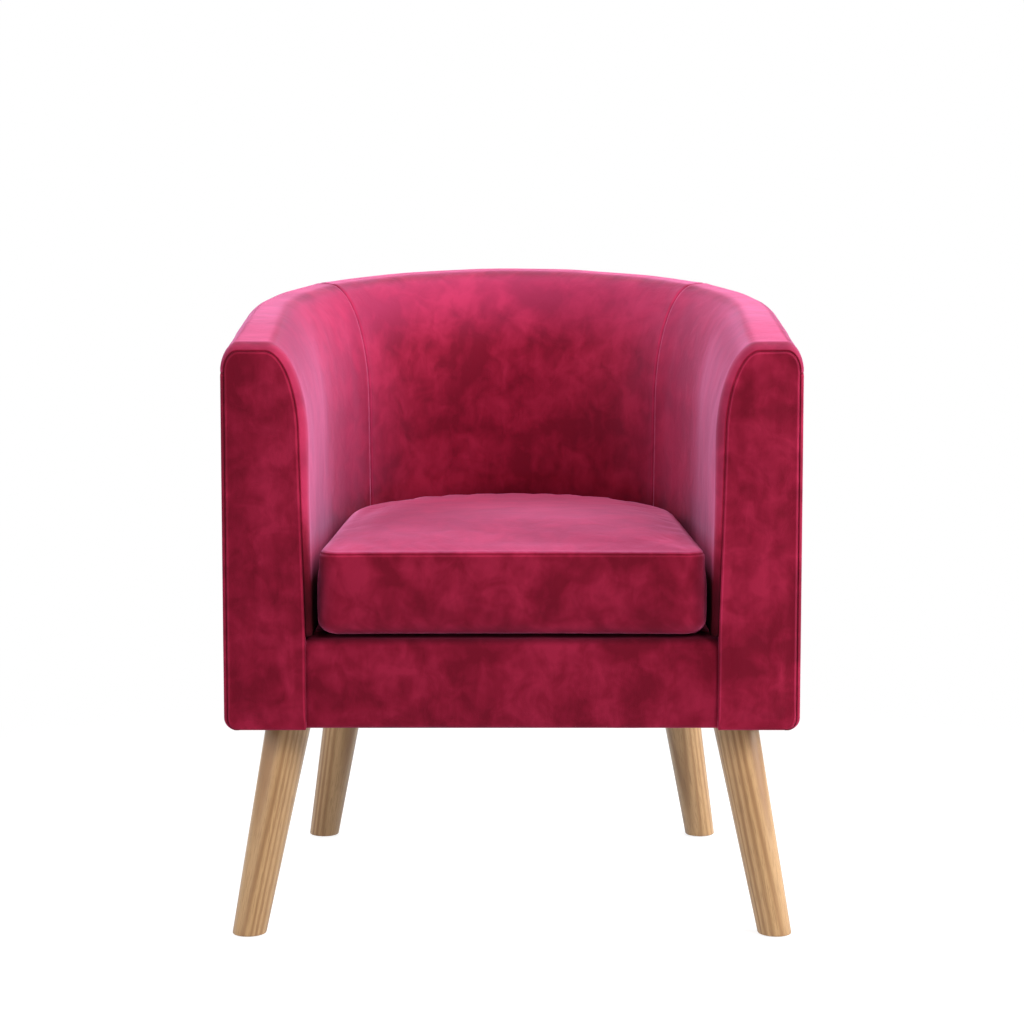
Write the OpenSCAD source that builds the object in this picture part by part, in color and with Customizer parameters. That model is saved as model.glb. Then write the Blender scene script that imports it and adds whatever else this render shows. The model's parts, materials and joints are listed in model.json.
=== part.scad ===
// Tub armchair: splayed tapered legs, a plywood tub frame with sinuous seat springs,
// foam and velvet covers, and a loose crowned seat cushion with a zip at its back.
// Origin: centre of the footprint, on the floor. +Z is up and the front faces -Y.
// Left and right are as seen from the front of the chair.
// Inside the modules y runs back from the front of the arm facings.
// Through the wall, u runs inwards from the outside face and w down from the top plane.

/* [Overall] */
// Width over the outside covers
chair_w = 660; // [640:5:680]
// Depth from the arm facings to the outside of the back
chair_d = 616; // [604:4:628]
// Height of the top plane at the front of the arms
arm_h = 688; // [676:2:700]
// Rise of the top plane per millimetre towards the back
top_slope = 0.134; // [0.11:0.004:0.15]
// Height of the underside of the body
body_z = 245; // [239:2:251]

/* [Tub wall] */
// Depth of the straight part of each arm
straight_d = 250; // [240:5:260]
// Thickness of the wall
wall_t = 98; // [96:1:102]
// Growth of the wall's thickness per millimetre below the roll
wall_lean = 0.015; // [0.005:0.005:0.02]
// Width of the inner roll at the front of the arms
arm_roll_w = 48; // [44:1:52]
// Height of the inner roll at the front of the arms
arm_roll_h = 110; // [100:5:120]
// Width of the inner roll along the back
back_roll_w = 62; // [56:1:66]
// Height of the inner roll along the back
back_roll_h = 150; // [140:5:160]
// Width of the outer top corner
corner_w = 20; // [16:1:24]
// Height of the outer top corner
corner_h = 32; // [26:1:33]
// Plan angle of the seams between the arms and the back
seam_q = 36; // [36:36]

/* [Covers] */
// Thickness of the velvet with its lining
cover_t = 2; // [1.5:0.1:2.2]
// Radius of the edge between a cover and the arm facing
edge_r = 7; // [6:0.5:8]
// Depth of the groove at a seam
seam_dip = 1.4; // [1:0.1:1.4]
// Radius of the lower edge of the covers
hem_r = 14; // [12:1:15]
// How far the outside covers are folded under the frame
fold_w = 17.5; // [16:0.5:18]

/* [Frame] */
// Thickness of the plywood rails
rail_t = 20; // [18:1:21]
// Height of the seat rails
rail_h = 80; // [76:1:80]
// Thickness of the arm and back top rails
top_rail_t = 22; // [18:1:24]
// Thickness of the boards that line the frame
board_t = 3; // [2.5:0.1:3]
// Depth of a front post
front_post_d = 32; // [28:1:34]
// Height of the corner blocks
block_h = 50; // [46:1:54]

/* [Legs] */
// Distance of a front foot from the centre line
front_foot_x = 306; // [300:1:308]
// Distance of a front foot behind the facings
front_foot_y = 24; // [22:1:30]
// Distance of the top of a front leg from the centre line
front_top_x = 260.5; // [258:0.5:264]
// Distance of the top of a front leg behind the facings
front_top_y = 65; // [64:1:70]
// Distance of a rear foot from the centre line
rear_foot_x = 256; // [250:1:258]
// Distance of a rear foot behind the facings
rear_foot_y = 531; // [528:1:538]
// Distance of the top of a rear leg from the centre line
rear_top_x = 214; // [210:1:215]
// Distance of the top of a rear leg behind the facings
rear_top_y = 460; // [456:1:464]
// Diameter of a leg at its top
leg_top_d = 52; // [48:0.5:53]
// Diameter of a leg at its foot
leg_foot_d = 38.6; // [34:0.2:40]

/* [Seat] */
// Height of the seat deck
deck_z = 353; // [351:0.5:354]
// Number of sinuous springs
spring_count = 5; // [3:2:5]
// Distance between neighbouring springs
spring_gap = 88; // [80:1:90]
// Diameter of the spring wire
wire_d = 3.8; // [3.2:0.1:4]
// Overall width of a spring
spring_w = 50; // [46:1:54]
// Distance between neighbouring bars of a spring, before it is fitted to its span
bar_pitch = 22; // [20:0.5:24]

/* [Seat cushion] */
// Half width of the cushion at its front
cushion_half_w = 224; // [220:1:225]
// Radius of the round back of the cushion
cushion_r = 213; // [210:1:214]
// Distance of the centre of that radius behind the facings
cushion_y = 293; // [290:1:294]
// Height of the top seam of the cushion
seam_z = 448; // [436:1:456]
// Rise of the crown above the top seam
crown_h = 27; // [20:1:30]
// How far the seams draw in from the middle of the boxing
seam_in = 3.6; // [2:0.2:4]
// Half the angle that the zip covers
zip_a = 30; // [24:1:32]

/* [Hidden] */
$fn = 48;

gap = 0.3;
half_w = chair_w / 2;
curve_d = chair_d - straight_d;
big = 2000;

// Levels through the wall, counted from the outside face
frame_u = cover_t + gap + board_t + gap;
rail_u = frame_u + rail_t;
post_u = 48;
foam_u = post_u + gap + board_t + gap;

// Levels down from the top plane
top_rail_w = 22;
under_rail_w = top_rail_w + top_rail_t;
tuck_w = corner_h + 2;

// Heights
frame_z = body_z + cover_t + 1;
rail_z = frame_z + rail_h;
wire_z = rail_z + 1.2 + 0.1 + wire_d / 2;

// Plan angles at which the curved pieces have their facets
arm_qs = [for (q = [0 : 6 : seam_q]) q];
back_qs = [for (q = [seam_q : 9 : 180 - seam_q]) q];
left_qs = [for (q = arm_qs) 180 - arm_qs[len(arm_qs) - 1 - search(q, arm_qs)[0]]];
tub_qs = concat(arm_qs, [for (i = [1 : len(back_qs) - 1]) back_qs[i]],
    [for (i = [1 : len(left_qs) - 1]) left_qs[i]]);
dip_q = 0.35;

function unit(v) = v / norm(v);
function mix(a, b, t) = a + (b - a) * t;
function top_at(y) = arm_h + top_slope * y;
function plan_pt(q) = [half_w * cos(q), straight_d + curve_d * sin(q)];
function plan_n(q) = unit([cos(q) / half_w, sin(q) / curve_d]);
function inset_pt(q, u) = plan_pt(q) - u * plan_n(q);
function chord_pt(qa, qb, t, u) = mix(inset_pt(qa, u), inset_pt(qb, u), t);

// Puts a piece in the chair's frame
module placed() {
    translate([0, -chair_d / 2, 0]) children();
}

module mirrored() {
    mirror([1, 0, 0]) children();
}

module both_sides() {
    children();
    mirrored() children();
}

// Everything under the plane that lies w below the top plane
module under_top(w) {
    y1 = chair_d + 50;
    rotate([90, 0, 90])
        linear_extrude(big, center = true)
            polygon([[-50, 0], [y1, 0], [y1, top_at(y1) - w], [-50, top_at(-50) - w]]);
}

// A flat outline raised from z to the plane that lies w below the top plane
module raised_to_top(z, w) {
    intersection() {
        translate([0, 0, z]) linear_extrude(big) children();
        under_top(w);
    }
}

// Plan of a band that follows the tub between two levels of the wall
function band(qs, u0, u1) = concat([for (q = qs) inset_pt(q, u0)],
    [for (i = [len(qs) - 1 : -1 : 0]) inset_pt(qs[i], u1)]);

// The same band with its straight front stretch along the right arm
function arm_band(y0, u0, u1) = concat([[half_w - u0, y0]], band(arm_qs, u0, u1),
    [[half_w - u1, y0]]);

// Plan of everything inside the tub at level u, from y0 to the back
function tub_outline(y0, u) = concat([[half_w - u, y0]], [for (q = tub_qs) inset_pt(q, u)],
    [[u - half_w, y0]]);

// A station of a sweep holds its plan point, its outward normal and its edge inset
function straight_station(y, e) = [[half_w, y], [1, 0], e];
function curve_station(q, e) = [plan_pt(q), plan_n(q), e];

function at_w(s, u, w) = let (p = s[0] - u * s[1]) [p[0], p[1], top_at(p[1]) - w];
function at_z(s, u, z) = let (p = s[0] - u * s[1]) [p[0], p[1], z];

// Stations of a cover on the right arm, at depth d under the velvet's face
function arm_stations(d) = concat(
    [for (a = [0, 30, 60])
        straight_station(edge_r - (edge_r - d) * cos(a), (edge_r - d) * (1 - sin(a)))],
    [for (y = [edge_r, 90, 170, straight_d]) straight_station(y, 0)],
    [for (i = [1 : len(arm_qs) - 2]) curve_station(arm_qs[i], 0)],
    [curve_station(seam_q - dip_q, 0), curve_station(seam_q, d == 0 ? seam_dip : 0)]);

// Stations of a cover on the back
function back_stations(d) = concat(
    [curve_station(seam_q, d == 0 ? seam_dip : 0), curve_station(seam_q + dip_q, 0)],
    [for (i = [1 : len(back_qs) - 2]) curve_station(back_qs[i], 0)],
    [curve_station(180 - seam_q - dip_q, 0),
        curve_station(180 - seam_q, d == 0 ? seam_dip : 0)]);

// The roll grows from the front of the arms to the seam with the back
seam_y = plan_pt(seam_q)[1];
function roll_w(s) = mix(arm_roll_w, back_roll_w, min(1, s[0][1] / seam_y));
function roll_h(s) = mix(arm_roll_h, back_roll_h, min(1, s[0][1] / seam_y));

// Outer top corner, from the outside face up to the top plane
function corner_row(s, i) = [for (a = [0 : 22.5 : 90])
    at_w(s, corner_w - (corner_w - i) * cos(a), corner_h - (corner_h - i) * sin(a))];

// Inner roll, from the top plane down to the inside face
function roll_row(s, i) = [for (a = [90 : -15 : 0])
    at_w(s, wall_t - roll_w(s) + (roll_w(s) - i) * cos(a), roll_h(s) - (roll_h(s) - i) * sin(a))];

// Foot of the inside face, where it meets the seat deck
function foot_pt(s, i) =
    let (drop = top_at(s[0][1] - wall_t * s[1][1]) - deck_z - roll_h(s))
    at_z(s, wall_t + wall_lean * drop - i, deck_z + gap);

function wall_row(s, d) = let (i = d + s[2])
    concat([at_w(s, i, tuck_w)], corner_row(s, i), roll_row(s, i), [foot_pt(s, i)]);

// Row of an outside cover, from its fold under the frame up to the tuck
function outside_row(s, d) = let (i = d + s[2]) concat(
    [at_z(s, fold_w, body_z + d)],
    [for (a = [90 : -30 : 0])
        at_z(s, hem_r - (hem_r - i) * cos(a), body_z + hem_r - (hem_r - d) * sin(a))],
    [at_w(s, i, tuck_w + gap)]);

// Inner side of the foam, over the inner board, the top rail and down its outside
function foam_row(s) = let (w = top_rail_w - gap, u0 = frame_u) concat(
    [for (p = [[u0, tuck_w], [u0, 31], [u0, 27], [u0, w], [12, w], [20, w], [34, w], [44, w],
        [foam_u, w], [foam_u, 40], [foam_u, 58], [foam_u, 78], [foam_u, 100]])
        at_w(s, p[0], p[1])],
    [at_z(s, foam_u, deck_z + gap)]);

function quad(a, b, c, d) = [[a, b, c], [a, c, d]];

// Closed solid between two grids of points that have the same rows and columns
module shell(outer, inner) {
    rows = len(outer);
    cols = len(outer[0]);
    n = rows * cols;
    points = concat([for (r = outer) each r], [for (r = inner) each r]);
    skin = [for (i = [0 : rows - 2], j = [0 : cols - 2])
        each quad(i * cols + j, i * cols + j + 1, (i + 1) * cols + j + 1, (i + 1) * cols + j)];
    back = [for (f = skin) [f[2] + n, f[1] + n, f[0] + n]];
    last = (rows - 1) * cols;
    ends = [for (j = [0 : cols - 2])
        each concat(quad(j, j + n, j + 1 + n, j + 1),
            quad(last + j + 1, last + j + 1 + n, last + j + n, last + j))];
    sides = [for (i = [0 : rows - 2]) let (a = i * cols, b = a + cols, e = cols - 1)
        each concat(quad(b, b + n, a + n, a), quad(a + e, a + e + n, b + e + n, b + e))];
    polyhedron(points, concat(skin, back, ends, sides), convexity = 8);
}

module velvet() {
    color([0.72, 0.11, 0.33]) children();
}

module foam_colour() {
    color([0.93, 0.90, 0.78]) children();
}

module ply() {
    color([0.80, 0.66, 0.46]) children();
}

module card() {
    color([0.58, 0.45, 0.32]) children();
}

module oak() {
    color([0.80, 0.66, 0.48]) children();
}

module steel() {
    color([0.62, 0.63, 0.65]) children();
}

// Legs

front_foot = [front_foot_x, front_foot_y, 0];
front_top = [front_top_x, front_top_y, body_z];
rear_foot = [rear_foot_x, rear_foot_y, 0];
rear_top = [rear_top_x, rear_top_y, body_z];
glide_t = 1.5;
glide_d = 22;
glide_stem_d = 4.4;
glide_stem_l = 14;
bolt_d = 8;
bolt_in_leg = 48;
bolt_l = 104;
nut_d = 9.9;
nut_l = 12;
nut_flange_d = 19;
nut_flange_t = 1.5;
bore_play = 0.1;

// Turns +Z onto the line from foot to top, with its zero at the foot and the seam of a
// turned face off the leg's own plane
module along_leg(foot, top) {
    v = top - foot;
    translate(foot)
        rotate([0, acos(v[2] / norm(v)), atan2(v[1], v[0])])
            rotate([0, 0, 90])
                children();
}

// Distance along the leg's line at which it reaches height z
function leg_reach(foot, top, z) = norm(top - foot) * z / (top - foot)[2];

module tapered_leg(foot, top) {
    reach = leg_reach(foot, top, frame_z);
    grow = (leg_top_d - leg_foot_d) / 2 / reach;
    over = 30;
    difference() {
        intersection() {
            along_leg(foot, top)
                translate([0, 0, -over])
                    cylinder(h = reach + 2 * over, r1 = leg_foot_d / 2 - over * grow,
                        r2 = leg_top_d / 2 + over * grow);
            translate([0, 0, glide_t + (frame_z - glide_t) / 2])
                cube([big, big, frame_z - glide_t], center = true);
        }
        along_leg(foot, top)
            translate([0, 0, reach - bolt_in_leg - bore_play])
                cylinder(h = bolt_in_leg + over, d = bolt_d + bore_play);
        translate(foot) cylinder(h = glide_t + glide_stem_l + 1, d = glide_stem_d + bore_play);
    }
}

module left_front_leg() {
    oak() placed() mirrored() tapered_leg(front_foot, front_top);
}

module right_front_leg() {
    oak() placed() tapered_leg(front_foot, front_top);
}

module left_rear_leg() {
    oak() placed() mirrored() tapered_leg(rear_foot, rear_top);
}

module right_rear_leg() {
    oak() placed() tapered_leg(rear_foot, rear_top);
}

module leg_glides() {
    color([0.86, 0.85, 0.82]) placed() both_sides()
        for (foot = [front_foot, rear_foot])
            translate(foot) {
                cylinder(h = glide_t, d = glide_d);
                cylinder(h = glide_t + glide_stem_l, d = glide_stem_d);
            }
}

// Hanger bolts: half in the leg, half through the corner block
module leg_bolts() {
    steel() placed() both_sides()
        for (leg = [[front_foot, front_top], [rear_foot, rear_top]])
            along_leg(leg[0], leg[1])
                translate([0, 0, leg_reach(leg[0], leg[1], frame_z) - bolt_in_leg])
                    cylinder(h = bolt_l, d = bolt_d);
}

// Height on the block at which the tee nut's flange seats
nut_seat_z = frame_z + block_h - 6;

module leg_tee_nuts() {
    steel() placed() both_sides()
        for (leg = [[front_foot, front_top], [rear_foot, rear_top]])
            along_leg(leg[0], leg[1])
                translate([0, 0, leg_reach(leg[0], leg[1], nut_seat_z)])
                    difference() {
                        union() {
                            cylinder(h = nut_flange_t, d = nut_flange_d);
                            translate([0, 0, -nut_l]) cylinder(h = nut_l + nut_flange_t, d = nut_d);
                        }
                        translate([0, 0, -nut_l - 1])
                            cylinder(h = nut_l + nut_flange_t + 2, d = bolt_d + bore_play);
                    }
}

// Bore for the tee nut and the room above it for its flange
module nut_bore(foot, top) {
    along_leg(foot, top) {
        translate([0, 0, leg_reach(foot, top, frame_z) - 40]) cylinder(h = 150, d = nut_d + bore_play);
        translate([0, 0, leg_reach(foot, top, nut_seat_z)]) cylinder(h = 60, d = nut_flange_d + 1);
    }
}

// Seat frame

// Rebate along the lower outer edge of the frame, where the covers turn under it
rebate = 6;

module hem_room() {
    translate([0, 0, frame_z - 1])
        linear_extrude(rebate + 1)
            difference() {
                polygon(tub_outline(0, -10));
                polygon(tub_outline(-1, frame_u + rebate));
            }
}

rail_y = cover_t + gap + 11.7;
post_x = half_w - post_u;
side_rail_x = half_w - rail_u;
post_y = rail_y + front_post_d;

module front_seat_rail() {
    ply() placed() difference() {
        translate([-post_x, rail_y, frame_z]) cube([2 * post_x, rail_t, rail_h]);
        block_screw_holes(pilot_d);
    }
}

module side_rail() {
    difference() {
        translate([side_rail_x, post_y, frame_z]) cube([rail_t, straight_d - post_y, rail_h]);
        hem_room();
        block_screw_holes(pilot_d);
    }
}

module left_side_rail() {
    ply() placed() mirrored() side_rail();
}

module right_side_rail() {
    ply() placed() side_rail();
}

module rear_seat_rail() {
    ply() placed() difference() {
        translate([0, 0, frame_z]) linear_extrude(rail_h) polygon(band(tub_qs, frame_u, rail_u));
        hem_room();
        block_screw_holes(pilot_d);
    }
}

// Posts

module front_post() {
    difference() {
        raised_to_top(frame_z, under_rail_w)
            translate([post_x, rail_y]) square([half_w - frame_u - post_x, front_post_d]);
        hem_room();
    }
}

module left_front_post() {
    ply() placed() mirrored() front_post();
}

module right_front_post() {
    ply() placed() front_post();
}

side_post_d = 36;
side_post_x = side_rail_x - 1.2;

// Stands inside the joint of the side rail and the rear rail
module side_post() {
    raised_to_top(frame_z, under_rail_w)
        translate([post_x, straight_d - side_post_d / 2])
            square([side_post_x - post_x, side_post_d]);
}

module left_side_post() {
    ply() placed() mirrored() side_post();
}

module right_side_post() {
    ply() placed() side_post();
}

// Plan of a post scribed to the curve at angle q, between its neighbours qa and qb
function scribed(qa, q, qb, ta, tb, u0, u1) = [
    chord_pt(qa, q, ta, u0), inset_pt(q, u0), chord_pt(q, qb, tb, u0),
    chord_pt(q, qb, tb, u1), inset_pt(q, u1), chord_pt(qa, q, ta, u1)];

module rear_post() {
    raised_to_top(frame_z, under_rail_w)
        polygon(scribed(seam_q - 6, seam_q, seam_q + 9, 0.2, 0.1, rail_u + gap, post_u));
}

module left_rear_post() {
    ply() placed() mirrored() rear_post();
}

module right_rear_post() {
    ply() placed() rear_post();
}

module back_studs() {
    ply() placed() both_sides()
        raised_to_top(frame_z, under_rail_w)
            polygon(scribed(72, 81, 90, 0.74, 0.3, rail_u + gap, post_u));
}

// Top rails, sawn to the slope of the top plane

module between_planes(w0, w1) {
    difference() {
        raised_to_top(frame_z, w0) children();
        under_top(w1);
    }
}

module arm_rail() {
    between_planes(top_rail_w, under_rail_w)
        translate([post_x, rail_y]) square([half_w - frame_u - post_x, straight_d - rail_y]);
}

module left_arm_rail() {
    ply() placed() mirrored() arm_rail();
}

module right_arm_rail() {
    ply() placed() arm_rail();
}

module back_top_rail() {
    ply() placed() between_planes(top_rail_w, under_rail_w) polygon(band(tub_qs, frame_u, post_u));
}

// Corner blocks, each bored along its leg

front_block_reach = 92;
side_block_reach = 104;
rear_block_u = rail_u + gap;
rear_block_in = 50;
rail_back_y = rail_y + rail_t;

module front_block_plan() {
    polygon([[post_x - front_block_reach, rail_back_y], [post_x, rail_back_y], [post_x, post_y],
        [side_rail_x, post_y], [side_rail_x, post_y + side_block_reach]]);
}

module rear_block_plan() {
    polygon([chord_pt(36, 45, 0.15, rear_block_u), inset_pt(45, rear_block_u),
        inset_pt(54, rear_block_u), chord_pt(54, 63, 0.9, rear_block_u),
        chord_pt(54, 63, 0.9, rear_block_u + rear_block_in),
        chord_pt(36, 45, 0.15, rear_block_u + rear_block_in)]);
}

module front_corner_blocks() {
    ply() placed() both_sides() difference() {
        translate([0, 0, frame_z]) linear_extrude(block_h) front_block_plan();
        nut_bore(front_foot, front_top);
        one_side_screw_holes(screw_d + bore_play, screw_head_d + bore_play);
    }
}

module rear_corner_blocks() {
    ply() placed() both_sides() difference() {
        translate([0, 0, frame_z]) linear_extrude(block_h) rear_block_plan();
        nut_bore(rear_foot, rear_top);
        one_side_screw_holes(screw_d + bore_play, screw_head_d + bore_play);
    }
}

// Screws of the blocks: the plan point of the head and the direction it is driven in

screw_d = 4;
pilot_d = screw_d + bore_play;
screw_l = 28;
screw_head_d = 8;
screw_head_h = 2.6;
screw_z = frame_z + block_h / 2;
block_screw_list = [
    [[post_x - front_block_reach + 16, rail_back_y + 13], 270],
    [[side_rail_x - 13, post_y + side_block_reach - 15], 0],
    [chord_pt(36, 45, 0.75, rail_u + 16), atan2(plan_n(42)[1], plan_n(42)[0])],
    [chord_pt(54, 63, 0.6, rail_u + 16), atan2(plan_n(60)[1], plan_n(60)[0])]];

module at_screw(s) {
    translate([s[0][0], s[0][1], screw_z]) rotate([0, 90, s[1]]) children();
}

module one_side_screw_holes(d, head_d) {
    for (s = block_screw_list)
        at_screw(s) {
            cylinder(h = screw_l + bore_play, d = d);
            translate([0, 0, screw_head_h - 60]) cylinder(h = 60, d = head_d);
        }
}

module block_screw_holes(d) {
    both_sides() for (s = block_screw_list)
        at_screw(s) cylinder(h = screw_l + bore_play, d = d);
}

module block_screws() {
    steel() placed() both_sides()
        for (s = block_screw_list)
            at_screw(s) {
                cylinder(h = screw_l, d = screw_d);
                cylinder(h = screw_head_h, d = screw_head_d);
            }
}

// Seat springs: each wire runs back and forth from the front rail to the rear rail

// Where the rear bars lie, further in where the rail runs aslant to them
rear_bar_table = [for (q = [90 : -2 : 30])
    inset_pt(q, frame_u + rail_t / 2 + 11 * cos(q))];
front_bar_y = rail_y + rail_t / 2;
clip_t = 1.2;
clip_w = 18;
clip_d = 15;

// Bends of the spring at x, and the distance between its bars, to a hundredth of a millimetre
function spring_bends(x) = round((lookup(abs(x), rear_bar_table) - front_bar_y) / bar_pitch);
function spring_pitch(x) = let (n = spring_bends(x))
    round((lookup(abs(x), rear_bar_table) - front_bar_y) / n * 50) / 50;
function rear_bar_y(x) = front_bar_y + spring_bends(x) * spring_pitch(x);
spring_xs = [for (i = [0 : spring_count - 1]) (i - (spring_count - 1) / 2) * spring_gap];

module wire_bar(x0, x1) {
    translate([x0, 0, 0]) rotate([0, 90, 0]) cylinder(h = x1 - x0, d = wire_d, $fn = 24);
}

// One sinuous spring of n bends, its end bars lying in the clips
module sinuous_spring(n, pitch) {
    bend_r = pitch / 2;
    reach = (spring_w - wire_d) / 2 - bend_r;
    for (i = [0 : n - 1]) {
        side = i % 2 == 0 ? 1 : -1;
        translate([side * reach, (i + 0.5) * pitch, 0])
            rotate([0, 0, -90 * side])
                rotate_extrude(angle = 180, $fn = 32)
                    translate([bend_r, 0]) circle(d = wire_d, $fn = 24);
    }
    for (i = [0 : n])
        translate([0, i * pitch, 0]) wire_bar(-reach, reach);
}

module seat_springs() {
    steel() placed()
        for (x = spring_xs)
            translate([x, front_bar_y, wire_z]) sinuous_spring(spring_bends(x), spring_pitch(x));
}

// A clip is a strip folded round the end bar, open towards the seat
module spring_clip(towards) {
    inner = wire_d + 0.2;
    rotate([90, 0, 90])
        linear_extrude(clip_w, center = true)
            scale([towards, 1])
                difference() {
                    union() {
                        circle(d = inner + 2 * clip_t, $fn = 32);
                        translate([0, -inner / 2 - clip_t]) square([clip_d / 2, inner + 2 * clip_t]);
                        translate([-clip_d / 2, -inner / 2 - clip_t]) square([clip_d / 2, clip_t]);
                    }
                    circle(d = inner, $fn = 32);
                    translate([0, -inner / 2]) square([clip_d, inner]);
                }
}

module spring_clips() {
    steel() placed()
        for (x = spring_xs) {
            translate([x, front_bar_y, wire_z]) spring_clip(1);
            translate([x, rear_bar_y(x), wire_z]) spring_clip(-1);
        }
}

// Seat deck: felt on the springs, a foam pad and the deck cloth

deck_y = rail_y + front_post_d + 0.5;
felt_t = 4;
deck_cloth_t = 1.8;
felt_z = wire_z + wire_d / 2 + 0.2;
pad_z = felt_z + felt_t + gap;

module deck_layer(z, t) {
    translate([0, 0, z]) linear_extrude(t) polygon(tub_outline(deck_y, foam_u));
}

module spring_felt() {
    color([0.45, 0.44, 0.42]) placed() deck_layer(felt_z, felt_t);
}

module deck_foam() {
    foam_colour() placed() deck_layer(pad_z, deck_z - deck_cloth_t - 0.2 - pad_z);
}

module deck_cloth() {
    velvet() placed() deck_layer(deck_z - deck_cloth_t, deck_cloth_t);
}

// Boards that close the frame on both sides

inner_board_z = rail_z + 8;
outer_board_z = body_z + hem_r;

module inner_arm_board() {
    raised_to_top(inner_board_z, top_rail_w)
        polygon(arm_band(rail_y, post_u + gap, post_u + gap + board_t));
}

module left_inner_board() {
    card() placed() mirrored() inner_arm_board();
}

module right_inner_board() {
    card() placed() inner_arm_board();
}

module back_inner_board() {
    card() placed() raised_to_top(inner_board_z, top_rail_w)
        polygon(band(back_qs, post_u + gap, post_u + gap + board_t));
}

module outer_arm_board() {
    raised_to_top(outer_board_z, tuck_w + gap)
        polygon(arm_band(rail_y, cover_t + gap, cover_t + gap + board_t));
}

module left_outer_board() {
    card() placed() mirrored() outer_arm_board();
}

module right_outer_board() {
    card() placed() outer_arm_board();
}

module back_outer_board() {
    card() placed() raised_to_top(outer_board_z, tuck_w + gap)
        polygon(band(back_qs, cover_t + gap, cover_t + gap + board_t));
}

// Foam of the wall

foam_stations = concat([for (y = [rail_y, 90, 170]) straight_station(y, 0)],
    [for (q = arm_qs) curve_station(q, 0)]);

module arm_foam() {
    shell([for (s = foam_stations) wall_row(s, cover_t + gap)], [for (s = foam_stations) foam_row(s)]);
}

module left_arm_foam() {
    foam_colour() placed() mirrored() arm_foam();
}

module right_arm_foam() {
    foam_colour() placed() arm_foam();
}

module back_foam() {
    stations = [for (q = back_qs) curve_station(q, 0)];
    foam_colour() placed()
        shell([for (s = stations) wall_row(s, cover_t + gap)], [for (s = stations) foam_row(s)]);
}

// Front border: foam and velvet over the front rail

border_x = half_w - wall_t + edge_r - 0.6;
border_y = 4;
border_top = deck_z - 3;
border_roll = 14;
border_fold = 32;

// Profile of the border at depth d under its face, in y and z
function border_face(d) = concat(
    [[border_fold, body_z + d]],
    [for (a = [90 : -30 : 0])
        [border_y + 6 - (6 - d) * cos(a), body_z + 6 - (6 - d) * sin(a)]],
    [for (a = [0 : 15 : 90])
        [border_y + border_roll - (border_roll - d) * cos(a),
            border_top - border_roll + (border_roll - d) * sin(a)]],
    [[deck_y - gap, deck_z - d]]);

module along_border() {
    rotate([90, 0, 90]) linear_extrude(2 * border_x, center = true) children();
}

module border_cover() {
    inner = border_face(cover_t);
    velvet() placed() along_border()
        polygon(concat(border_face(0), [for (i = [len(inner) - 1 : -1 : 0]) inner[i]]));
}

module border_foam() {
    d = cover_t + gap;
    top = [for (a = [0 : 15 : 90])
        [border_y + border_roll - (border_roll - d) * cos(a),
            border_top - border_roll + (border_roll - d) * sin(a)]];
    clip_top = wire_z + wire_d / 2 + clip_t + 0.4;
    foam_colour() placed() along_border()
        polygon(concat([[rail_y - gap, frame_z + 2], [border_y + d, frame_z + 2]], top,
            [[deck_y - gap, deck_z - d], [deck_y - gap, clip_top], [rail_y - gap, clip_top]]));
}

// Facings at the front of the arms

// Outline of a facing in x and z, inset by e from the wall's outside, above the cover's fold
function facing_outline(e) = let (s = straight_station(0, 0), over = cover_t + gap) concat(
    [[half_w - fold_w - gap, body_z], [half_w - fold_w - gap, body_z + over]],
    [for (a = [90 : -30 : 0])
        [half_w - hem_r + (hem_r - e) * cos(a), body_z + hem_r - (hem_r - over) * sin(a)]],
    [for (p = concat(corner_row(s, e), roll_row(s, e))) [p[0], p[2]]],
    [[foot_pt(s, e)[0], deck_z], [border_x + 0.4, deck_z - 2], [border_x + 0.4, body_z]]);

module facing_plate(e, y0, y1, z0) {
    intersection() {
        translate([0, y1, 0]) rotate([90, 0, 0]) linear_extrude(y1 - y0) polygon(facing_outline(e));
        translate([0, -10, z0]) cube([half_w, 60, big]);
    }
}

module facing_pad() {
    facing_plate(edge_r + 0.4, cover_t + gap, rail_y - gap, body_z + cover_t + gap);
}

module facing_cover() {
    facing_plate(edge_r + 0.2, 0, cover_t, body_z);
    translate([border_x + 0.4, cover_t, body_z])
        cube([half_w - fold_w - gap - border_x - 0.4, border_fold - cover_t, cover_t]);
}

module left_facing_pad() {
    foam_colour() placed() mirrored() facing_pad();
}

module right_facing_pad() {
    foam_colour() placed() facing_pad();
}

module left_facing_cover() {
    velvet() placed() mirrored() facing_cover();
}

module right_facing_cover() {
    velvet() placed() facing_cover();
}

// Covers of the wall

module inside_arm_cover() {
    shell([for (s = arm_stations(0)) wall_row(s, 0)],
        [for (s = arm_stations(cover_t)) wall_row(s, cover_t)]);
}

module left_inside_cover() {
    velvet() placed() mirrored() inside_arm_cover();
}

module right_inside_cover() {
    velvet() placed() inside_arm_cover();
}

module inside_back_cover() {
    velvet() placed()
        shell([for (s = back_stations(0)) wall_row(s, 0)],
            [for (s = back_stations(cover_t)) wall_row(s, cover_t)]);
}

module outside_arm_cover() {
    shell([for (s = arm_stations(0)) outside_row(s, 0)],
        [for (s = arm_stations(cover_t)) outside_row(s, cover_t)]);
}

module left_outside_cover() {
    velvet() placed() mirrored() outside_arm_cover();
}

module right_outside_cover() {
    velvet() placed() outside_arm_cover();
}

module outside_back_cover() {
    velvet() placed()
        shell([for (s = back_stations(0)) outside_row(s, 0)],
            [for (s = back_stations(cover_t)) outside_row(s, cover_t)]);
}

// Dust cover stapled over the folds, with a hole round each leg
dust_t = 0.8;
dust_in = 15;

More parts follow.
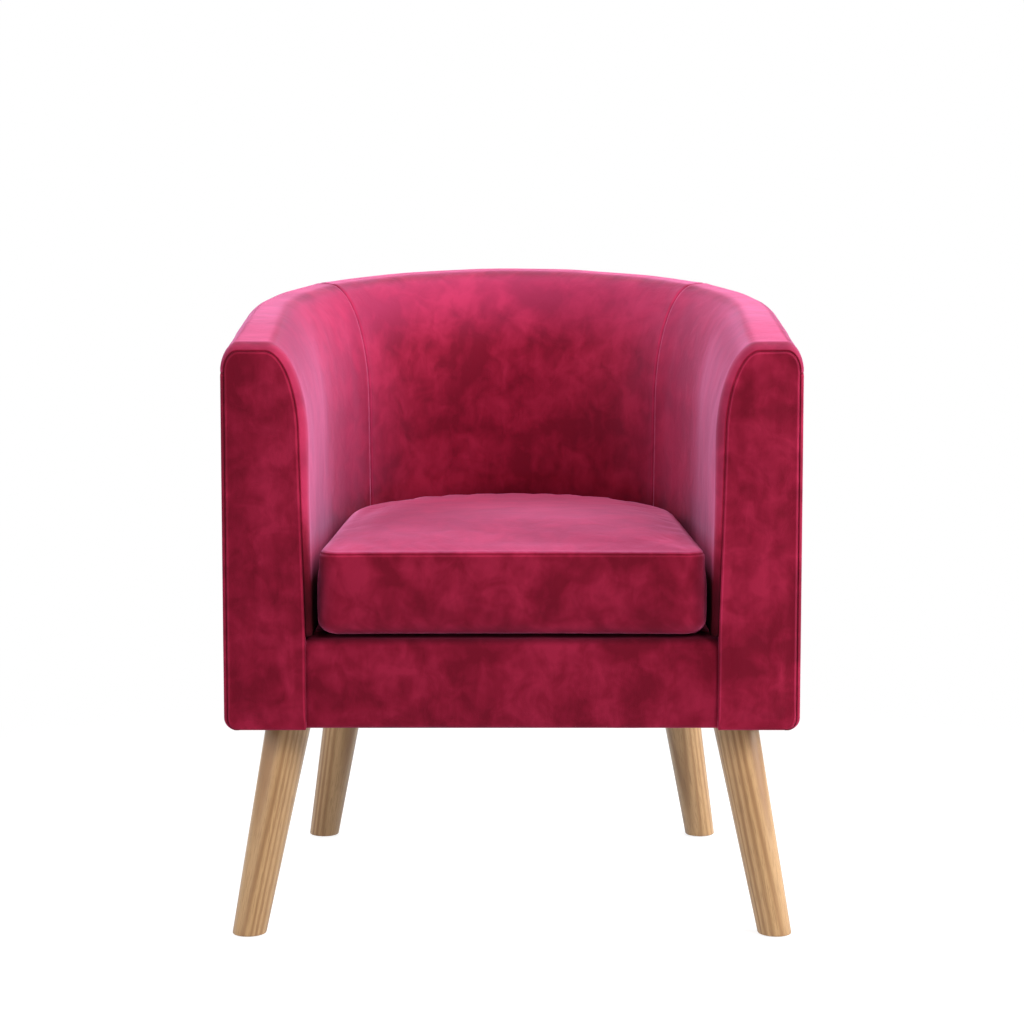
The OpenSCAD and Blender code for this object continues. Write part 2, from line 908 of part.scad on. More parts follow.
module dust_cover() {
    color([0.10, 0.10, 0.11]) placed() difference() {
        translate([0, 0, body_z - dust_t - 0.2])
            linear_extrude(dust_t) polygon(tub_outline(border_y + dust_in, dust_in));
        both_sides()
            for (top = [front_top, rear_top])
                translate([top[0], top[1], body_z - 10]) cylinder(h = 20, d = leg_top_d + 4);
    }
}

// Seat cushion: rings of one outline, stacked from its underside to its crown

cushion_front = 2;
cushion_corner = 26;
cushion_z = deck_z + gap;
crown_reach = 90;
front_reach = 220;
lower_r = 20;

// The front edge draws in between its corners
function front_dip(x, hw) = 4 * (1 - pow(x / hw, 2));

// Right half of the outline at inset i, from the front centre to the back centre
function half_outline(i) =
    let (hw = cushion_half_w - i, r = cushion_r - i, cr = max(4, cushion_corner - i),
        y0 = cushion_front + i)
    concat(
        [for (t = [0, 0.3, 0.6, 0.85]) let (x = t * (hw - cr)) [x, y0 + front_dip(x, hw)]],
        [for (a = [-90 : 30 : 0]) [hw - cr + cr * cos(a), y0 + cr + cr * sin(a)]],
        [for (t = [0.3, 0.65]) [mix(hw, r, t) - 1.5, mix(y0 + cr, cushion_y, t)]],
        [for (a = [0 : 11.25 : 90]) [r * cos(a), cushion_y + r * sin(a)]]);

function outline(i) = let (h = half_outline(i), n = len(h))
    concat(h, [for (k = [n - 2 : -1 : 1]) [-h[k][0], h[k][1]]]);

// Share of the crown's rise at inset i from the seam, fast at first and then nearly level
function crown_share(i) = 1 - pow(1 - min(1, i / crown_reach), 9);

// The crown also rises slowly from the front edge
function front_share(y) = 1 - pow(1 - min(1, max(0, y - cushion_front) / front_reach), 2);

// Rings as inset, height and share of the crown, for a surface t inside the cushion's face
function cushion_rings(t) = let (low = cushion_z + lower_r, rise = seam_z - low - 1) concat(
    [for (a = [90 : -22.5 : 0])
        [lower_r - (lower_r - t) * cos(a), low - (lower_r - t) * sin(a), 0]],
    [for (f = [0.35, 0.65, 0.88]) [seam_in * pow(f, 2) + t, low + f * rise, 0]],
    [[seam_in + t, seam_z - t * 0.8, 0], [seam_in + 2.4 + t, seam_z + 1.2 - t, 0]],
    [for (i = [4, 8, 14, 24, 42, 72]) [i + seam_in + t, seam_z - t, crown_share(i)]]);

// Solid of the cushion, its face moved in by t
module cushion_body(t) {
    rings = cushion_rings(t);
    n = len(outline(0));
    k = len(rings);
    low = rings[0];
    middle = [0, cushion_y - 30];
    points = concat(
        [for (r = rings) each [for (p = outline(r[0]))
            [p[0], p[1], r[1] + crown_h * r[2] * front_share(p[1])]]],
        [[middle[0], middle[1], low[1]], [middle[0], middle[1], seam_z + crown_h - t]]);
    walls = [for (i = [0 : k - 2], j = [0 : n - 1]) let (j2 = (j + 1) % n)
        each quad((i + 1) * n + j, (i + 1) * n + j2, i * n + j2, i * n + j)];
    base = [for (j = [0 : n - 1]) [j, (j + 1) % n, k * n]];
    crown = [for (j = [0 : n - 1]) [(k - 1) * n + (j + 1) % n, (k - 1) * n + j, k * n + 1]];
    polyhedron(points, concat(walls, base, crown), convexity = 6);
}

// Zip on the back of the cushion, along an arc about the centre of its round back

zip_z = cushion_z + 48;
slot_h = 10;
tape_h = 22;
tape_t = 1.2;
chain_h = 6;
chain_t = 2.2;
tape_r = cushion_r - 4.6;
chain_r = tape_r + tape_t;
slider_a = 3.4;
slider_h = 9;
slider_t = 1.8;
slider_play = 0.3;

// A bent bar about the cushion's round back: radii, height and half angle about angle a
module bent_bar(r0, r1, h, half_a, a = 90) {
    translate([0, cushion_y, zip_z - h / 2])
        rotate([0, 0, a - half_a])
            rotate_extrude(angle = 2 * half_a, $fn = 96)
                translate([r0, 0]) square([r1 - r0, h]);
}

cushion_cover_t = 1.2;

module cushion_cover() {
    velvet() placed() difference() {
        cushion_body(0);
        cushion_body(cushion_cover_t);
        bent_bar(cushion_r - 20, cushion_r + 20, slot_h, zip_a + 0.5);
    }
}

module cushion_foam() {
    foam_colour() placed() difference() {
        cushion_body(cushion_cover_t + gap);
        bent_bar(tape_r - 0.5, cushion_r + 20, tape_h + 1, zip_a + 2.5);
    }
}

module cushion_zip() {
    color([0.60, 0.09, 0.27]) placed() {
        bent_bar(tape_r, tape_r + tape_t, tape_h, zip_a + 1.5);
        bent_bar(chain_r - 0.01, chain_r + chain_t, chain_h, zip_a - 0.5);
    }
}

// The slider starts at the right end of the zip and straddles its chain
module zip_slider() {
    a = 90 - zip_a + slider_a / 2 + 1.5;
    steel() placed() difference() {
        bent_bar(chain_r + 0.3, chain_r + chain_t + slider_play + slider_t, slider_h, slider_a / 2, a);
        bent_bar(chain_r, chain_r + chain_t + slider_play, chain_h + 2 * slider_play, slider_a, a);
    }
}

left_front_leg();
right_front_leg();
left_rear_leg();
right_rear_leg();
leg_glides();
leg_bolts();
leg_tee_nuts();
front_seat_rail();
left_side_rail();
right_side_rail();
rear_seat_rail();
left_front_post();
right_front_post();
left_side_post();
right_side_post();
left_rear_post();
right_rear_post();
back_studs();
left_arm_rail();
right_arm_rail();
back_top_rail();
front_corner_blocks();
rear_corner_blocks();
block_screws();
seat_springs();
spring_clips();
spring_felt();
deck_foam();
deck_cloth();
left_inner_board();
right_inner_board();
back_inner_board();
left_outer_board();
right_outer_board();
back_outer_board();
left_arm_foam();
right_arm_foam();
back_foam();
border_foam();
left_facing_pad();
right_facing_pad();
left_inside_cover();
right_inside_cover();
inside_back_cover();
left_outside_cover();
right_outside_cover();
outside_back_cover();
left_facing_cover();
right_facing_cover();
border_cover();
dust_cover();
cushion_foam();
cushion_cover();
cushion_zip();
zip_slider();
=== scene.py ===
"""Looks of a velvet tub armchair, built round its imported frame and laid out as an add-on."""

import json
import math

import bmesh
import bpy
import numpy as np
from bpy.props import FloatProperty, FloatVectorProperty, IntProperty, PointerProperty
from mathutils import Matrix, Vector, geometry, kdtree, noise


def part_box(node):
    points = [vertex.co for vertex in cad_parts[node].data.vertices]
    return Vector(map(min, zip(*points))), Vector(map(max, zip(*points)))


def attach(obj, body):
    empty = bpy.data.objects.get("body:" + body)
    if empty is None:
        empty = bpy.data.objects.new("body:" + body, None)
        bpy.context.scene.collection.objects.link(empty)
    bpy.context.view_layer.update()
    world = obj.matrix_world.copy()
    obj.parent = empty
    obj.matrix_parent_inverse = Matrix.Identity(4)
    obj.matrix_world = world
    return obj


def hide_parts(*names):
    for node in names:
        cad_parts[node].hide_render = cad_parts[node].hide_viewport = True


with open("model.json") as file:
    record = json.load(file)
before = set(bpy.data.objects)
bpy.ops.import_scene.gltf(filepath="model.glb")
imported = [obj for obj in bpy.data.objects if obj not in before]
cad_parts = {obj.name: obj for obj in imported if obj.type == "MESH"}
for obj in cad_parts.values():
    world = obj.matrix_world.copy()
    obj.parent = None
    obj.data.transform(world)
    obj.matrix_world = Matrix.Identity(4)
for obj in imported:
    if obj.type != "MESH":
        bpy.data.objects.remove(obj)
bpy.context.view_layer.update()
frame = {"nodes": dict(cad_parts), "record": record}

bl_info = {
    "name": "Tub Armchair",
    "version": (1, 0, 0),
    "blender": (4, 5, 0),
    "location": "3D View > Sidebar > Tub Chair",
    "description": "Builds the velvet, oak and hardware of a tub armchair round its frame",
    "category": "Object",
}

# The chair's own sizes, in metres. y runs back from the front of the arm facings,
# u runs inwards from the outside face of the wall and w down from its top plane.
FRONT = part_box("left_facing_cover")[0].y
HALF_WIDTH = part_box("right_outside_cover")[1].x
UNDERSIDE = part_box("left_facing_cover")[0].z
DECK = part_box("deck_cloth")[1].z
DECK_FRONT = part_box("deck_cloth")[0].y - FRONT
BORDER_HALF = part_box("border_cover")[1].x
BORDER_SET_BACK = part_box("border_cover")[0].y - FRONT
BORDER_TOP = DECK - 0.003

# The wall: plan, top and section
STRAIGHT = 0.250  # length of the straight front of an arm
CURVE_DEPTH = 0.366  # depth of the half ellipse behind it
SEAM_ANGLE = 36.6  # plan angle of the seam between an arm and the back, in degrees
ARM_TOP, TOP_SLOPE = 0.688, 0.134  # height of the top at the front, and its rise with y
WALL, WALL_LEAN = 0.098, 0.015  # thickness below the roll, and its growth on the way down
ARM_ROLL, BACK_ROLL = (0.048, 0.110), (0.062, 0.150)  # width and height of the inner roll
CORNER = (0.020, 0.032)  # width and height of the outer corner
TUCK = CORNER[1] + 0.002  # depth at which the inside cover goes under the outside cover
HEM, FOLD = 0.014, 0.0175  # radius of the bend under the frame, and how far the covers go under
SEAM_GAP = 0.0003  # least distance between two skins that meet

# The roll of the covers round the facings: its radius, and how much wider it is on
# the top, on the inside and low down, and how much deeper
EDGE = 0.0038
EDGE_TOP, EDGE_INNER, EDGE_LOW, EDGE_DEPTH = 2.30, 2.50, 1.75, 2.2
FACING_LAP, FACING_HEM = 0.0026, 0.0004  # how far the facing laps the border and hangs free
FACING_TURNING, FACING_FOLD = 0.006, 0.026  # turning of its rim, and more of it under the frame

# Brightness of each part, partly from the way its pile lies and partly painted light and shade: up-facing tops
# painted brighter, front-facing panels darker
PILE_AND_LIGHT_FRONT, PILE_AND_LIGHT_ARM, PILE_AND_LIGHT_BACK, PILE_AND_LIGHT_SEAT, PILE_AND_LIGHT_OUTSIDE = 0.67, 1.50, 1.03, 1.50, 0.85
# Painted light: the right facing brighter than the left, on the side the key lamp falls
RIGHT_FACING_PAINTED_LIGHT = 1.13
SHEEN_ROUGHNESS = 0.45

# The velvet's thickness, and how far it is let swell outside and inside the wall,
# on a facing and on the border
VELVET_THICK = 0.0019
WALL_GIVE, FACING_GIVE, BORDER_GIVE = (0.0006, 0.0020), 0.0022, 0.0018

# Middles and radii of the legs at the floor and at the underside of the frame
LEG_FEET = {"front": (0.306, 0.024), "rear": (0.256, 0.531)}
LEG_TOPS = {"front": (0.2605, 0.065), "rear": (0.214, 0.460)}
LEG_FOOT_R, LEG_TOP_R = 0.0193, 0.0260
GLIDE = 0.0015  # height of a leg's lower end

# The cushion: half width, radius and middle of its round back, its front, corners and seams
CUSHION_HALF, CUSHION_R, CUSHION_Y = 0.224, 0.213, 0.293
CUSHION_FRONT, CUSHION_CORNER = 0.002, 0.026
CUSHION_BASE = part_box("cushion_cover")[0].z
CUSHION_SEAM = 0.448
CUSHION_EDGE = 0.020  # radius of the lower edge
SEAM_INSET = 0.0036  # how far the boxing draws in towards the top seam
CROWN_REACH, FRONT_REACH = 0.090, 0.220  # how far from its rim and its front the crown rises
LOWER_SEAM_RING = 10  # ring of its mesh that the lower seam follows
OUTLINE_STEP = 0.0063  # distance between two points of such a ring

# The zip: its height, half its arc in degrees, and radius, thickness and height of its pieces
ZIP_MIDDLE = CUSHION_BASE + 0.048
ZIP_HALF_ANGLE = 30.0
TAPE_R, TAPE_THICK, TAPE_HIGH = 0.2084, 0.0012, 0.022
CHAIN_R, CHAIN_THICK, CHAIN_HIGH = 0.2096, 0.0022, 0.006
ZIP_STITCH_LINE = 0.0082  # height of the stitches above and below its middle

# Finishes of the smaller pieces: dark and light colour, roughness, size of the speckle,
# height of its bump and, where they differ, share of metal and upright scale
FINISHES = {
    "plywood": ((0.52, 0.36, 0.20), (0.66, 0.49, 0.30), 0.72, 0.006, 0.0002, 0.0, 6.0),
    "hardboard": ((0.20, 0.12, 0.065), (0.28, 0.175, 0.10), 0.66, 0.0015, 0.0001),
    "felt": ((0.10, 0.095, 0.09), (0.19, 0.18, 0.17), 0.97, 0.0022, 0.0006),
    "dust_cloth": ((0.012, 0.012, 0.013), (0.026, 0.026, 0.028), 0.92, 0.0014, 0.0002),
    "zinc_steel": ((0.55, 0.56, 0.58), (0.68, 0.69, 0.71), 0.36, 0.004, 0.00005, 1.0),
    "nylon": ((0.68, 0.66, 0.61), (0.76, 0.74, 0.70), 0.48, 0.003, 0.00005),
    "zip_tape": ((0.20, 0.010, 0.040), (0.29, 0.014, 0.058), 0.85, 0.0009, 0.0002),
    "zip_coil": ((0.26, 0.010, 0.050), (0.34, 0.016, 0.070), 0.42, 0.0012, 0.00005),
    "thread": ((0.30, 0.012, 0.050), (0.42, 0.025, 0.085), 0.60, 0.0004, 0.0001),
    "zip_metal": ((0.17, 0.010, 0.035), (0.22, 0.014, 0.046), 0.34, 0.002, 0.00004, 0.35),
}


class UpholsterySettings(bpy.types.PropertyGroup):
    """Shape of the velvet: its seams, puckers and softness."""

    seam_depth: FloatProperty(
        name="Seam depth", description="How far a seam is drawn below the velvet",
        default=0.0014, min=0.0, max=0.004, unit="LENGTH")
    seam_width: FloatProperty(
        name="Seam width", description="Half width of the hollow beside a seam",
        default=0.0018, min=0.001, max=0.008, unit="LENGTH")
    pucker: FloatProperty(
        name="Pucker", description="Height of the small folds that run out of a seam",
        default=0.0004, min=0.0, max=0.002, unit="LENGTH")
    softness: FloatProperty(
        name="Softness", description="Height of the slow waves of the padding",
        default=0.0007, min=0.0, max=0.004, unit="LENGTH")
    facing_swell: FloatProperty(
        name="Facing swell", description="How far the arm facings swell forwards",
        default=0.0026, min=0.0, max=0.006, unit="LENGTH")
    border_end: FloatProperty(
        name="Border end", description="Radius of the rolled ends of the front border",
        default=0.0055, min=0.002, max=0.014, unit="LENGTH")
    crown: FloatProperty(
        name="Cushion crown", description="Rise of the cushion's middle above its top seam",
        default=0.027, min=0.01, max=0.03, unit="LENGTH")
    pressure: FloatProperty(
        name="Pressure", description="Push of the filling against the velvet in the cloth simulation",
        default=4.0, min=0.0, max=20.0)
    give: FloatProperty(
        name="Give", description="How far the cushion's velvet swells between its seams",
        default=0.006, min=0.0, max=0.02, unit="LENGTH")
    stitch: FloatProperty(
        name="Stitch length", description="Distance between the stitches beside the zip",
        default=0.0042, min=0.002, max=0.008, unit="LENGTH")
    staple_gap: FloatProperty(
        name="Staple gap", description="Distance between the staples of the dust cover",
        default=0.040, min=0.01, max=0.1, unit="LENGTH")


class VelvetSettings(bpy.types.PropertyGroup):
    """Colours and pile of the velvet."""

    deep: FloatVectorProperty(
        name="Deep", description="Colour of the pile seen end on",
        subtype="COLOR", default=(0.178, 0.0030, 0.0155), min=0.0, max=1.0)
    middle: FloatVectorProperty(
        name="Middle", description="Usual colour of the pile",
        subtype="COLOR", default=(0.262, 0.0062, 0.0280), min=0.0, max=1.0)
    brushed: FloatVectorProperty(
        name="Brushed", description="Colour where the pile is brushed flat",
        subtype="COLOR", default=(0.375, 0.0135, 0.0500), min=0.0, max=1.0)
    # Painted sheen: pink added to the colour where the painted light is brightest.
    painted_sheen: FloatVectorProperty(
        name="Painted sheen", description="Pink added where the pile lies brightest",
        subtype="COLOR", default=(0.0, 0.0150, 0.0410), min=0.0, max=1.0)
    sheen: FloatVectorProperty(
        name="Sheen", description="Colour that the pile throws back at a low angle",
        subtype="COLOR", default=(0.98, 0.37, 0.70), min=0.0, max=1.0)
    # Sheen tint where the pile is painted dark.
    low_sheen: FloatVectorProperty(
        name="Low sheen", description="The same, where the pile lies dark",
        subtype="COLOR", default=(0.98, 0.17, 0.38), min=0.0, max=1.0)
    patch: FloatProperty(
        name="Patch size", description="Size of the brushed patches",
        default=0.10, min=0.02, max=0.5, unit="LENGTH")
    pile: FloatProperty(
        name="Pile", description="Size of the finest tufts",
        default=0.0011, min=0.0005, max=0.004, unit="LENGTH")


class OakSettings(bpy.types.PropertyGroup):
    """Colours and grain of the legs."""

    light: FloatVectorProperty(
        name="Early wood", description="Lighter wood of a ring",
        subtype="COLOR", default=(0.495, 0.302, 0.138), min=0.0, max=1.0)
    dark: FloatVectorProperty(
        name="Late wood", description="Darker wood of a ring",
        subtype="COLOR", default=(0.270, 0.134, 0.048), min=0.0, max=1.0)
    ring: FloatProperty(
        name="Ring width", description="Distance between neighbouring year rings",
        default=0.0068, min=0.001, max=0.02, unit="LENGTH")
    sides: IntProperty(
        name="Sides", description="Number of sides round a leg",
        default=64, min=16, max=128)


class StageSettings(bpy.types.PropertyGroup):
    """Camera, lamps and floor."""

    distance: FloatProperty(
        name="Distance", description="Distance of the camera in front of the arm facings",
        default=2.870, min=1.0, max=10.0, unit="LENGTH")
    height: FloatProperty(
        name="Height", description="Height of the camera above the floor",
        default=0.793, min=0.1, max=3.0, unit="LENGTH")
    pitch: FloatProperty(
        name="Pitch", description="How far the camera looks down",
        default=math.radians(5.9), min=0.0, max=1.0, subtype="ANGLE")
    lens: FloatProperty(
        name="Lens", description="Focal length for a square picture, in millimetres",
        default=89.37, min=20.0, max=300.0, unit="CAMERA")
    key: FloatProperty(
        name="Key", description="Power of the key lamp, in watts",
        default=78.0, min=0.0, max=500.0, unit="POWER")
    side: FloatProperty(
        name="Side", description="Power of the lamp on the right, in watts",
        default=80.0, min=0.0, max=500.0, unit="POWER")
    far_side: FloatProperty(
        name="Far side", description="Power of the lamp on the left, in watts",
        default=13.0, min=0.0, max=500.0, unit="POWER")
    fill: FloatProperty(
        name="Fill", description="Power of the fill lamp, in watts",
        default=41.0, min=0.0, max=500.0, unit="POWER")
    overhead: FloatProperty(
        name="Overhead", description="Power of the overhead lamp, in watts",
        default=22.0, min=0.0, max=500.0, unit="POWER")
    rim: FloatProperty(
        name="Rim", description="Power of the lamp behind the chair, in watts",
        default=14.0, min=0.0, max=500.0, unit="POWER")
    room: FloatProperty(
        name="Room", description="Strength of the light from all round",
        default=0.05, min=0.0, max=2.0)


# ---- shapes ----


def smooth(a, b, x):
    """0 below a and 1 above b, with a soft change between them."""
    t = np.clip((np.asarray(x, float) - a) / (b - a), 0.0, 1.0)
    return t * t * (3.0 - 2.0 * t)


def angles(first, last, count):
    """Evenly spaced angles, given in degrees."""
    return np.radians(np.linspace(first, last, count))


def run_of(points):
    """Distance run along a row of points."""
    return np.concatenate([[0.0], np.cumsum(np.linalg.norm(np.diff(points, axis=0), axis=1))])


def points_at(row, places):
    """Flat points at given distances along a row of points."""
    run = run_of(row)
    return np.stack([np.interp(places, run, row[:, k]) for k in range(2)], -1)


def even_loop(row, spacing, count=None):
    """Even flat points along a row that ends where it starts."""
    length = run_of(row)[-1]
    return points_at(row, np.linspace(0.0, length, count or int(length / spacing), endpoint=False))


def tree_of(points):
    """A search tree over points."""
    tree = kdtree.KDTree(len(points))
    for i, q in enumerate(np.asarray(points).tolist()):
        tree.insert(q, i)
    tree.balance()
    return tree


def mesh_of(name, points, faces):
    """A mesh of points and faces."""
    mesh = bpy.data.meshes.new(name)
    mesh.from_pydata(np.asarray(points).reshape(-1, 3).tolist(), [], [list(map(int, f)) for f in faces])
    return mesh


def linked(name, data):
    """A new object in the scene."""
    obj = bpy.data.objects.new(name, data)
    bpy.context.scene.collection.objects.link(obj)
    return obj


def vectors(items, key):
    """One vector of each item of a mesh, as the rows of an array."""
    values = np.zeros(len(items) * 3)
    items.foreach_get(key, values)
    return values.reshape(-1, 3)


def top_of(y):
    """Height of the wall's top plane."""
    return ARM_TOP + TOP_SLOPE * y


def plan(q):
    """Points of the tub's outside face and their outward normals, at plan angles q."""
    q = np.radians(np.asarray(q, float))
    points = np.stack([HALF_WIDTH * np.cos(q), STRAIGHT + CURVE_DEPTH * np.sin(q)], -1)
    normals = np.stack([np.cos(q) / HALF_WIDTH, np.sin(q) / CURVE_DEPTH], -1)
    return points, normals / np.linalg.norm(normals, axis=-1, keepdims=True)


def near_ends(length, step, first, both=True):
    """Distances from 0 to length, first apart at the ends and up to step apart between."""
    rise, at, gap = [0.0], 0.0, first
    while gap < step and at + gap < length * (0.5 if both else 1.0):
        at += gap
        rise.append(at)
        gap *= 1.35
    tail = [length - d for d in reversed(rise)] if both else [length]
    count = max(2, int(math.ceil((tail[0] - rise[-1]) / step)) + 1)
    middle = np.linspace(rise[-1], tail[0], count)
    return np.concatenate([rise[:-1], middle, tail[1:]])


class Stations:
    """Cross sections along the wall: plan points, normals, edge inset and roll."""

    def __init__(self, points, normals, inset):
        self.points, self.normals = np.asarray(points), np.asarray(normals)
        self.inset = np.asarray(inset, float)[:, None]
        y = self.points[:, 1:]
        self.deeper = np.minimum(y, EDGE) * (1.0 - smooth(EDGE, EDGE + 0.05, y))
        seam_y = plan(SEAM_ANGLE)[0][1]
        t = np.minimum(1.0, self.points[:, 1] / seam_y)[:, None]
        self.roll_w = ARM_ROLL[0] + (BACK_ROLL[0] - ARM_ROLL[0]) * t
        self.roll_h = ARM_ROLL[1] + (BACK_ROLL[1] - ARM_ROLL[1]) * t

    def at(self, u, w=None, z=None, wider=1.0):
        """Points at u through the wall, and w below the top plane or at height z.

        Where the roll round the facing is wider, it also reaches further back."""
        u, level, wider = np.broadcast_arrays(u + 0.0 * self.inset, w if z is None else z, wider)
        xy = self.points[:, None, :] - u[..., None] * self.normals[:, None, :]
        y = xy[..., 1] + EDGE_DEPTH * (wider - 1.0) * self.deeper
        height = top_of(y) - level if z is None else level
        return np.stack([xy[..., 0], y + FRONT, height], -1)


def arm_stations(step=0.006):
    """The right arm, from the groove round its facing to the seam with the back."""
    tilt = math.radians(35.0)
    rows = [(EDGE * (1.0 - math.cos(a) / math.cos(tilt)),
             EDGE * (1.0 - math.sin(a)) / (1.0 - math.sin(tilt)))
            for a in np.linspace(tilt, math.pi / 2, 12)]
    straight = EDGE + near_ends(STRAIGHT - EDGE, step, step, both=False)[1:]
    arc = np.linspace(0.0, SEAM_ANGLE, 400)
    along = run_of(plan(arc)[0])
    places = along[-1] - near_ends(along[-1], step, 0.0006, both=False)[::-1]
    q = np.interp(places[1:], along, arc)
    curve, curve_n = plan(q)
    points = [(HALF_WIDTH, y) for y, _ in rows] + [(HALF_WIDTH, y) for y in straight]
    inset = [e for _, e in rows] + [0.0] * (len(straight) + len(q))
    normals = [(1.0, 0.0)] * len(points)
    return Stations(np.vstack([points, curve]), np.vstack([normals, curve_n]), inset)


def back_stations(step=0.0065):
    """The back, from seam to seam."""
    arc = np.linspace(SEAM_ANGLE, 180.0 - SEAM_ANGLE, 1200)
    along = run_of(plan(arc)[0])
    q = np.interp(near_ends(along[-1], step, 0.0006), along, arc)
    points, normals = plan(q)
    return Stations(points, normals, np.zeros(len(q)))


def rolled_wall(s):
    """Grid of the velvet over the top of the wall, from the outside tuck to the seat deck."""
    e, (cw, ch) = s.inset, CORNER
    tuck = s.at(e, TUCK - near_ends(TUCK - ch, 0.002, 0.0007)[None, :-1])
    a = angles(0.0, 90.0, 14)[None]
    corner = s.at(cw - (cw - e) * np.cos(a), ch - (ch - EDGE_TOP * e) * np.sin(a),
                  wider=1.0 + (EDGE_TOP - 1.0) * np.sin(a))
    t = np.linspace(0.0, 1.0, 6)[None, 1:-1]
    flat = s.at(cw + (WALL - s.roll_w - cw) * t, EDGE_TOP * e + 0.0 * t, wider=EDGE_TOP)
    a = angles(90.0, 0.0, 32)[None]
    roll = s.at(WALL - s.roll_w + (s.roll_w - EDGE_INNER * e) * np.cos(a),
                s.roll_h - (s.roll_h - EDGE_TOP * e) * np.sin(a),
                wider=EDGE_INNER + (EDGE_TOP - EDGE_INNER) * np.sin(a))
    t = np.linspace(0.0, 1.0, 40)[None, 1:]
    inner = EDGE_INNER + (EDGE_LOW - EDGE_INNER) * t
    y = s.points[:, 1:] + EDGE_DEPTH * (inner - 1.0) * s.deeper - WALL * s.normals[:, 1:]
    end = top_of(y) - DECK - SEAM_GAP
    drop = (end - s.roll_h) * t
    inside = s.at(WALL - inner * e + WALL_LEAN * drop, s.roll_h + drop, wider=inner)
    return np.concatenate([tuck, corner, flat, roll, inside], axis=1)


def outside_wall(s):
    """Grid of the velvet outside the wall, from its fold under the frame up to the tuck."""
    e = s.inset
    fold = s.at(np.linspace(FOLD, HEM, 3)[None, :-1] + 0.0 * e, z=UNDERSIDE)
    a = angles(90.0, 0.0, 10)[None]
    bend = s.at(HEM - (HEM - e) * np.cos(a), z=UNDERSIDE + HEM * (1.0 - np.sin(a)) + 0.0 * e)
    low = UNDERSIDE + HEM
    high = top_of(s.points[:, 1:] - e * s.normals[:, 1:]) - TUCK - SEAM_GAP
    t = near_ends(1.0, 0.022, 0.0016)[None, 1:]
    side = s.at(e + 0.0 * t, z=low + (high - low) * t)
    return np.concatenate([fold, bend, side], axis=1)


def grid_normals(grid):
    """Unit normals of a grid, by central differences."""
    n = np.cross(np.gradient(grid, axis=0), np.gradient(grid, axis=1))
    return n / np.maximum(np.linalg.norm(n, axis=-1, keepdims=True), 1e-12)


def noise_field(points, size, seed):
    """Smooth noise from -1 to 1 at an array of points, with features of about that size."""
    flat = points.reshape(-1, 3) / size + seed * 7.31
    return np.array([noise.noise(p) for p in flat.tolist()]).reshape(points.shape[:-1])


def lengths(grid, axis):
    """Distance run along one axis of a grid, from its first row or column."""
    steps = np.linalg.norm(np.diff(grid, axis=axis), axis=-1)
    run = np.cumsum(steps, axis=axis)
    pad = [(0, 0), (0, 0)]
    pad[axis] = (1, 0)
    return np.pad(run, pad)


def seam_hollow(distance, look):
    """Depth of the hollow beside a seam, with the low ridge of its turnings."""
    groove = -look.seam_depth * np.exp(-(distance / look.seam_width) ** 2)
    beyond = (distance - 2.6 * look.seam_width) / (1.1 * look.seam_width)
    return groove + 0.16 * look.seam_depth * np.exp(-beyond ** 2)


def seam_shade(distance, ridge=0.0):
    """Brightness beside a seam: painted shade in the hollow and a painted highlight on the ridge."""
    painted_seam_shade = 0.42 * np.exp(-(distance / 0.0008) ** 2)
    return 1.0 - painted_seam_shade + ridge * np.exp(-((distance - 0.0026) / 0.0008) ** 2)


def pucker_field(along, distance, look, seed, reach=0.020):
    """Small folds that run out of a seam and die away."""
    wander = np.array([noise.noise((s / 0.045, seed * 3.7, 0.0)) for s in along.reshape(-1).tolist()])
    wander = wander.reshape(along.shape)
    waves = np.sin(along / 0.0031 + 5.0 * wander) * (0.35 + 0.65 * np.abs(wander) * 2.0)
    return look.pucker * waves * np.exp(-distance / reach) * smooth(0.0, 0.004, distance)


def four_corners(table):
    """The entries of a table of points, gathered for the corners of each of its quads."""
    corners = [table[:-1, :-1], table[1:, :-1], table[1:, 1:], table[:-1, 1:]]
    return np.stack(corners, 2).reshape(-1, 4, *table.shape[2:])


def numbered(rows, cols, closed=False):
    """Point numbers of a grid, with the first column again at the end of a closed one."""
    index = np.arange(rows * cols).reshape(rows, cols)
    return np.concatenate([index, index[:, :1]], axis=1) if closed else index


def renumbered(faces, rim, count, inner):
    """Faces of a filling, whose loop of count points starts at rim and its new points at inner."""
    return [[rim + i if i < count else inner + i - count for i in f] for f in faces]


def grid_uv(grid):
    """Distances along both ways of a grid."""
    return np.stack([lengths(grid, 0), lengths(grid, 1)], -1)


def skin(name, points, faces, corner_uv, nap=1.0):
    """A smooth mesh object with a UV map in metres, given corner by corner.

    The brightness holds the way the pile lies together with painted light and shade: one value, or one for each
    point or each face."""
    mesh = mesh_of(name, points, faces)
    layer = mesh.uv_layers.new(name="cover")
    layer.data.foreach_set("uv", np.asarray(corner_uv, np.float32).ravel())
    by_face = np.size(nap) == len(faces)
    pile_light_and_shade = mesh.attributes.new("nap", "FLOAT", "FACE" if by_face else "POINT")
    pile_light_and_shade.data.foreach_set("value", np.broadcast_to(np.ravel(nap), len(pile_light_and_shade.data)).astype(np.float32))
    mesh.shade_smooth()
    return linked(name, mesh)


def outward_quads(grid, normals):
    """Quads over a grid, all turned to the side of its normals, and whether they were turned."""
    quads = four_corners(numbered(*grid.shape[:2]))
    p = grid.reshape(-1, 3)[quads]
    way = np.cross(p[:, 2] - p[:, 0], p[:, 3] - p[:, 1])
    turned = np.einsum("ij,ij->i", way, normals.reshape(-1, 3)[quads[:, 0]]).sum() < 0
    return (quads[:, ::-1] if turned else quads), turned


def grid_object(name, grid, normals, uv=None, nap=1.0):
    """A skin of quads over a grid of points, facing the way of its normals."""
    quads, turned = outward_quads(grid, normals)
    corner_uv = four_corners(grid_uv(grid) if uv is None else uv)
    return skin(name, grid, quads, corner_uv[:, ::-1] if turned else corner_uv, nap)


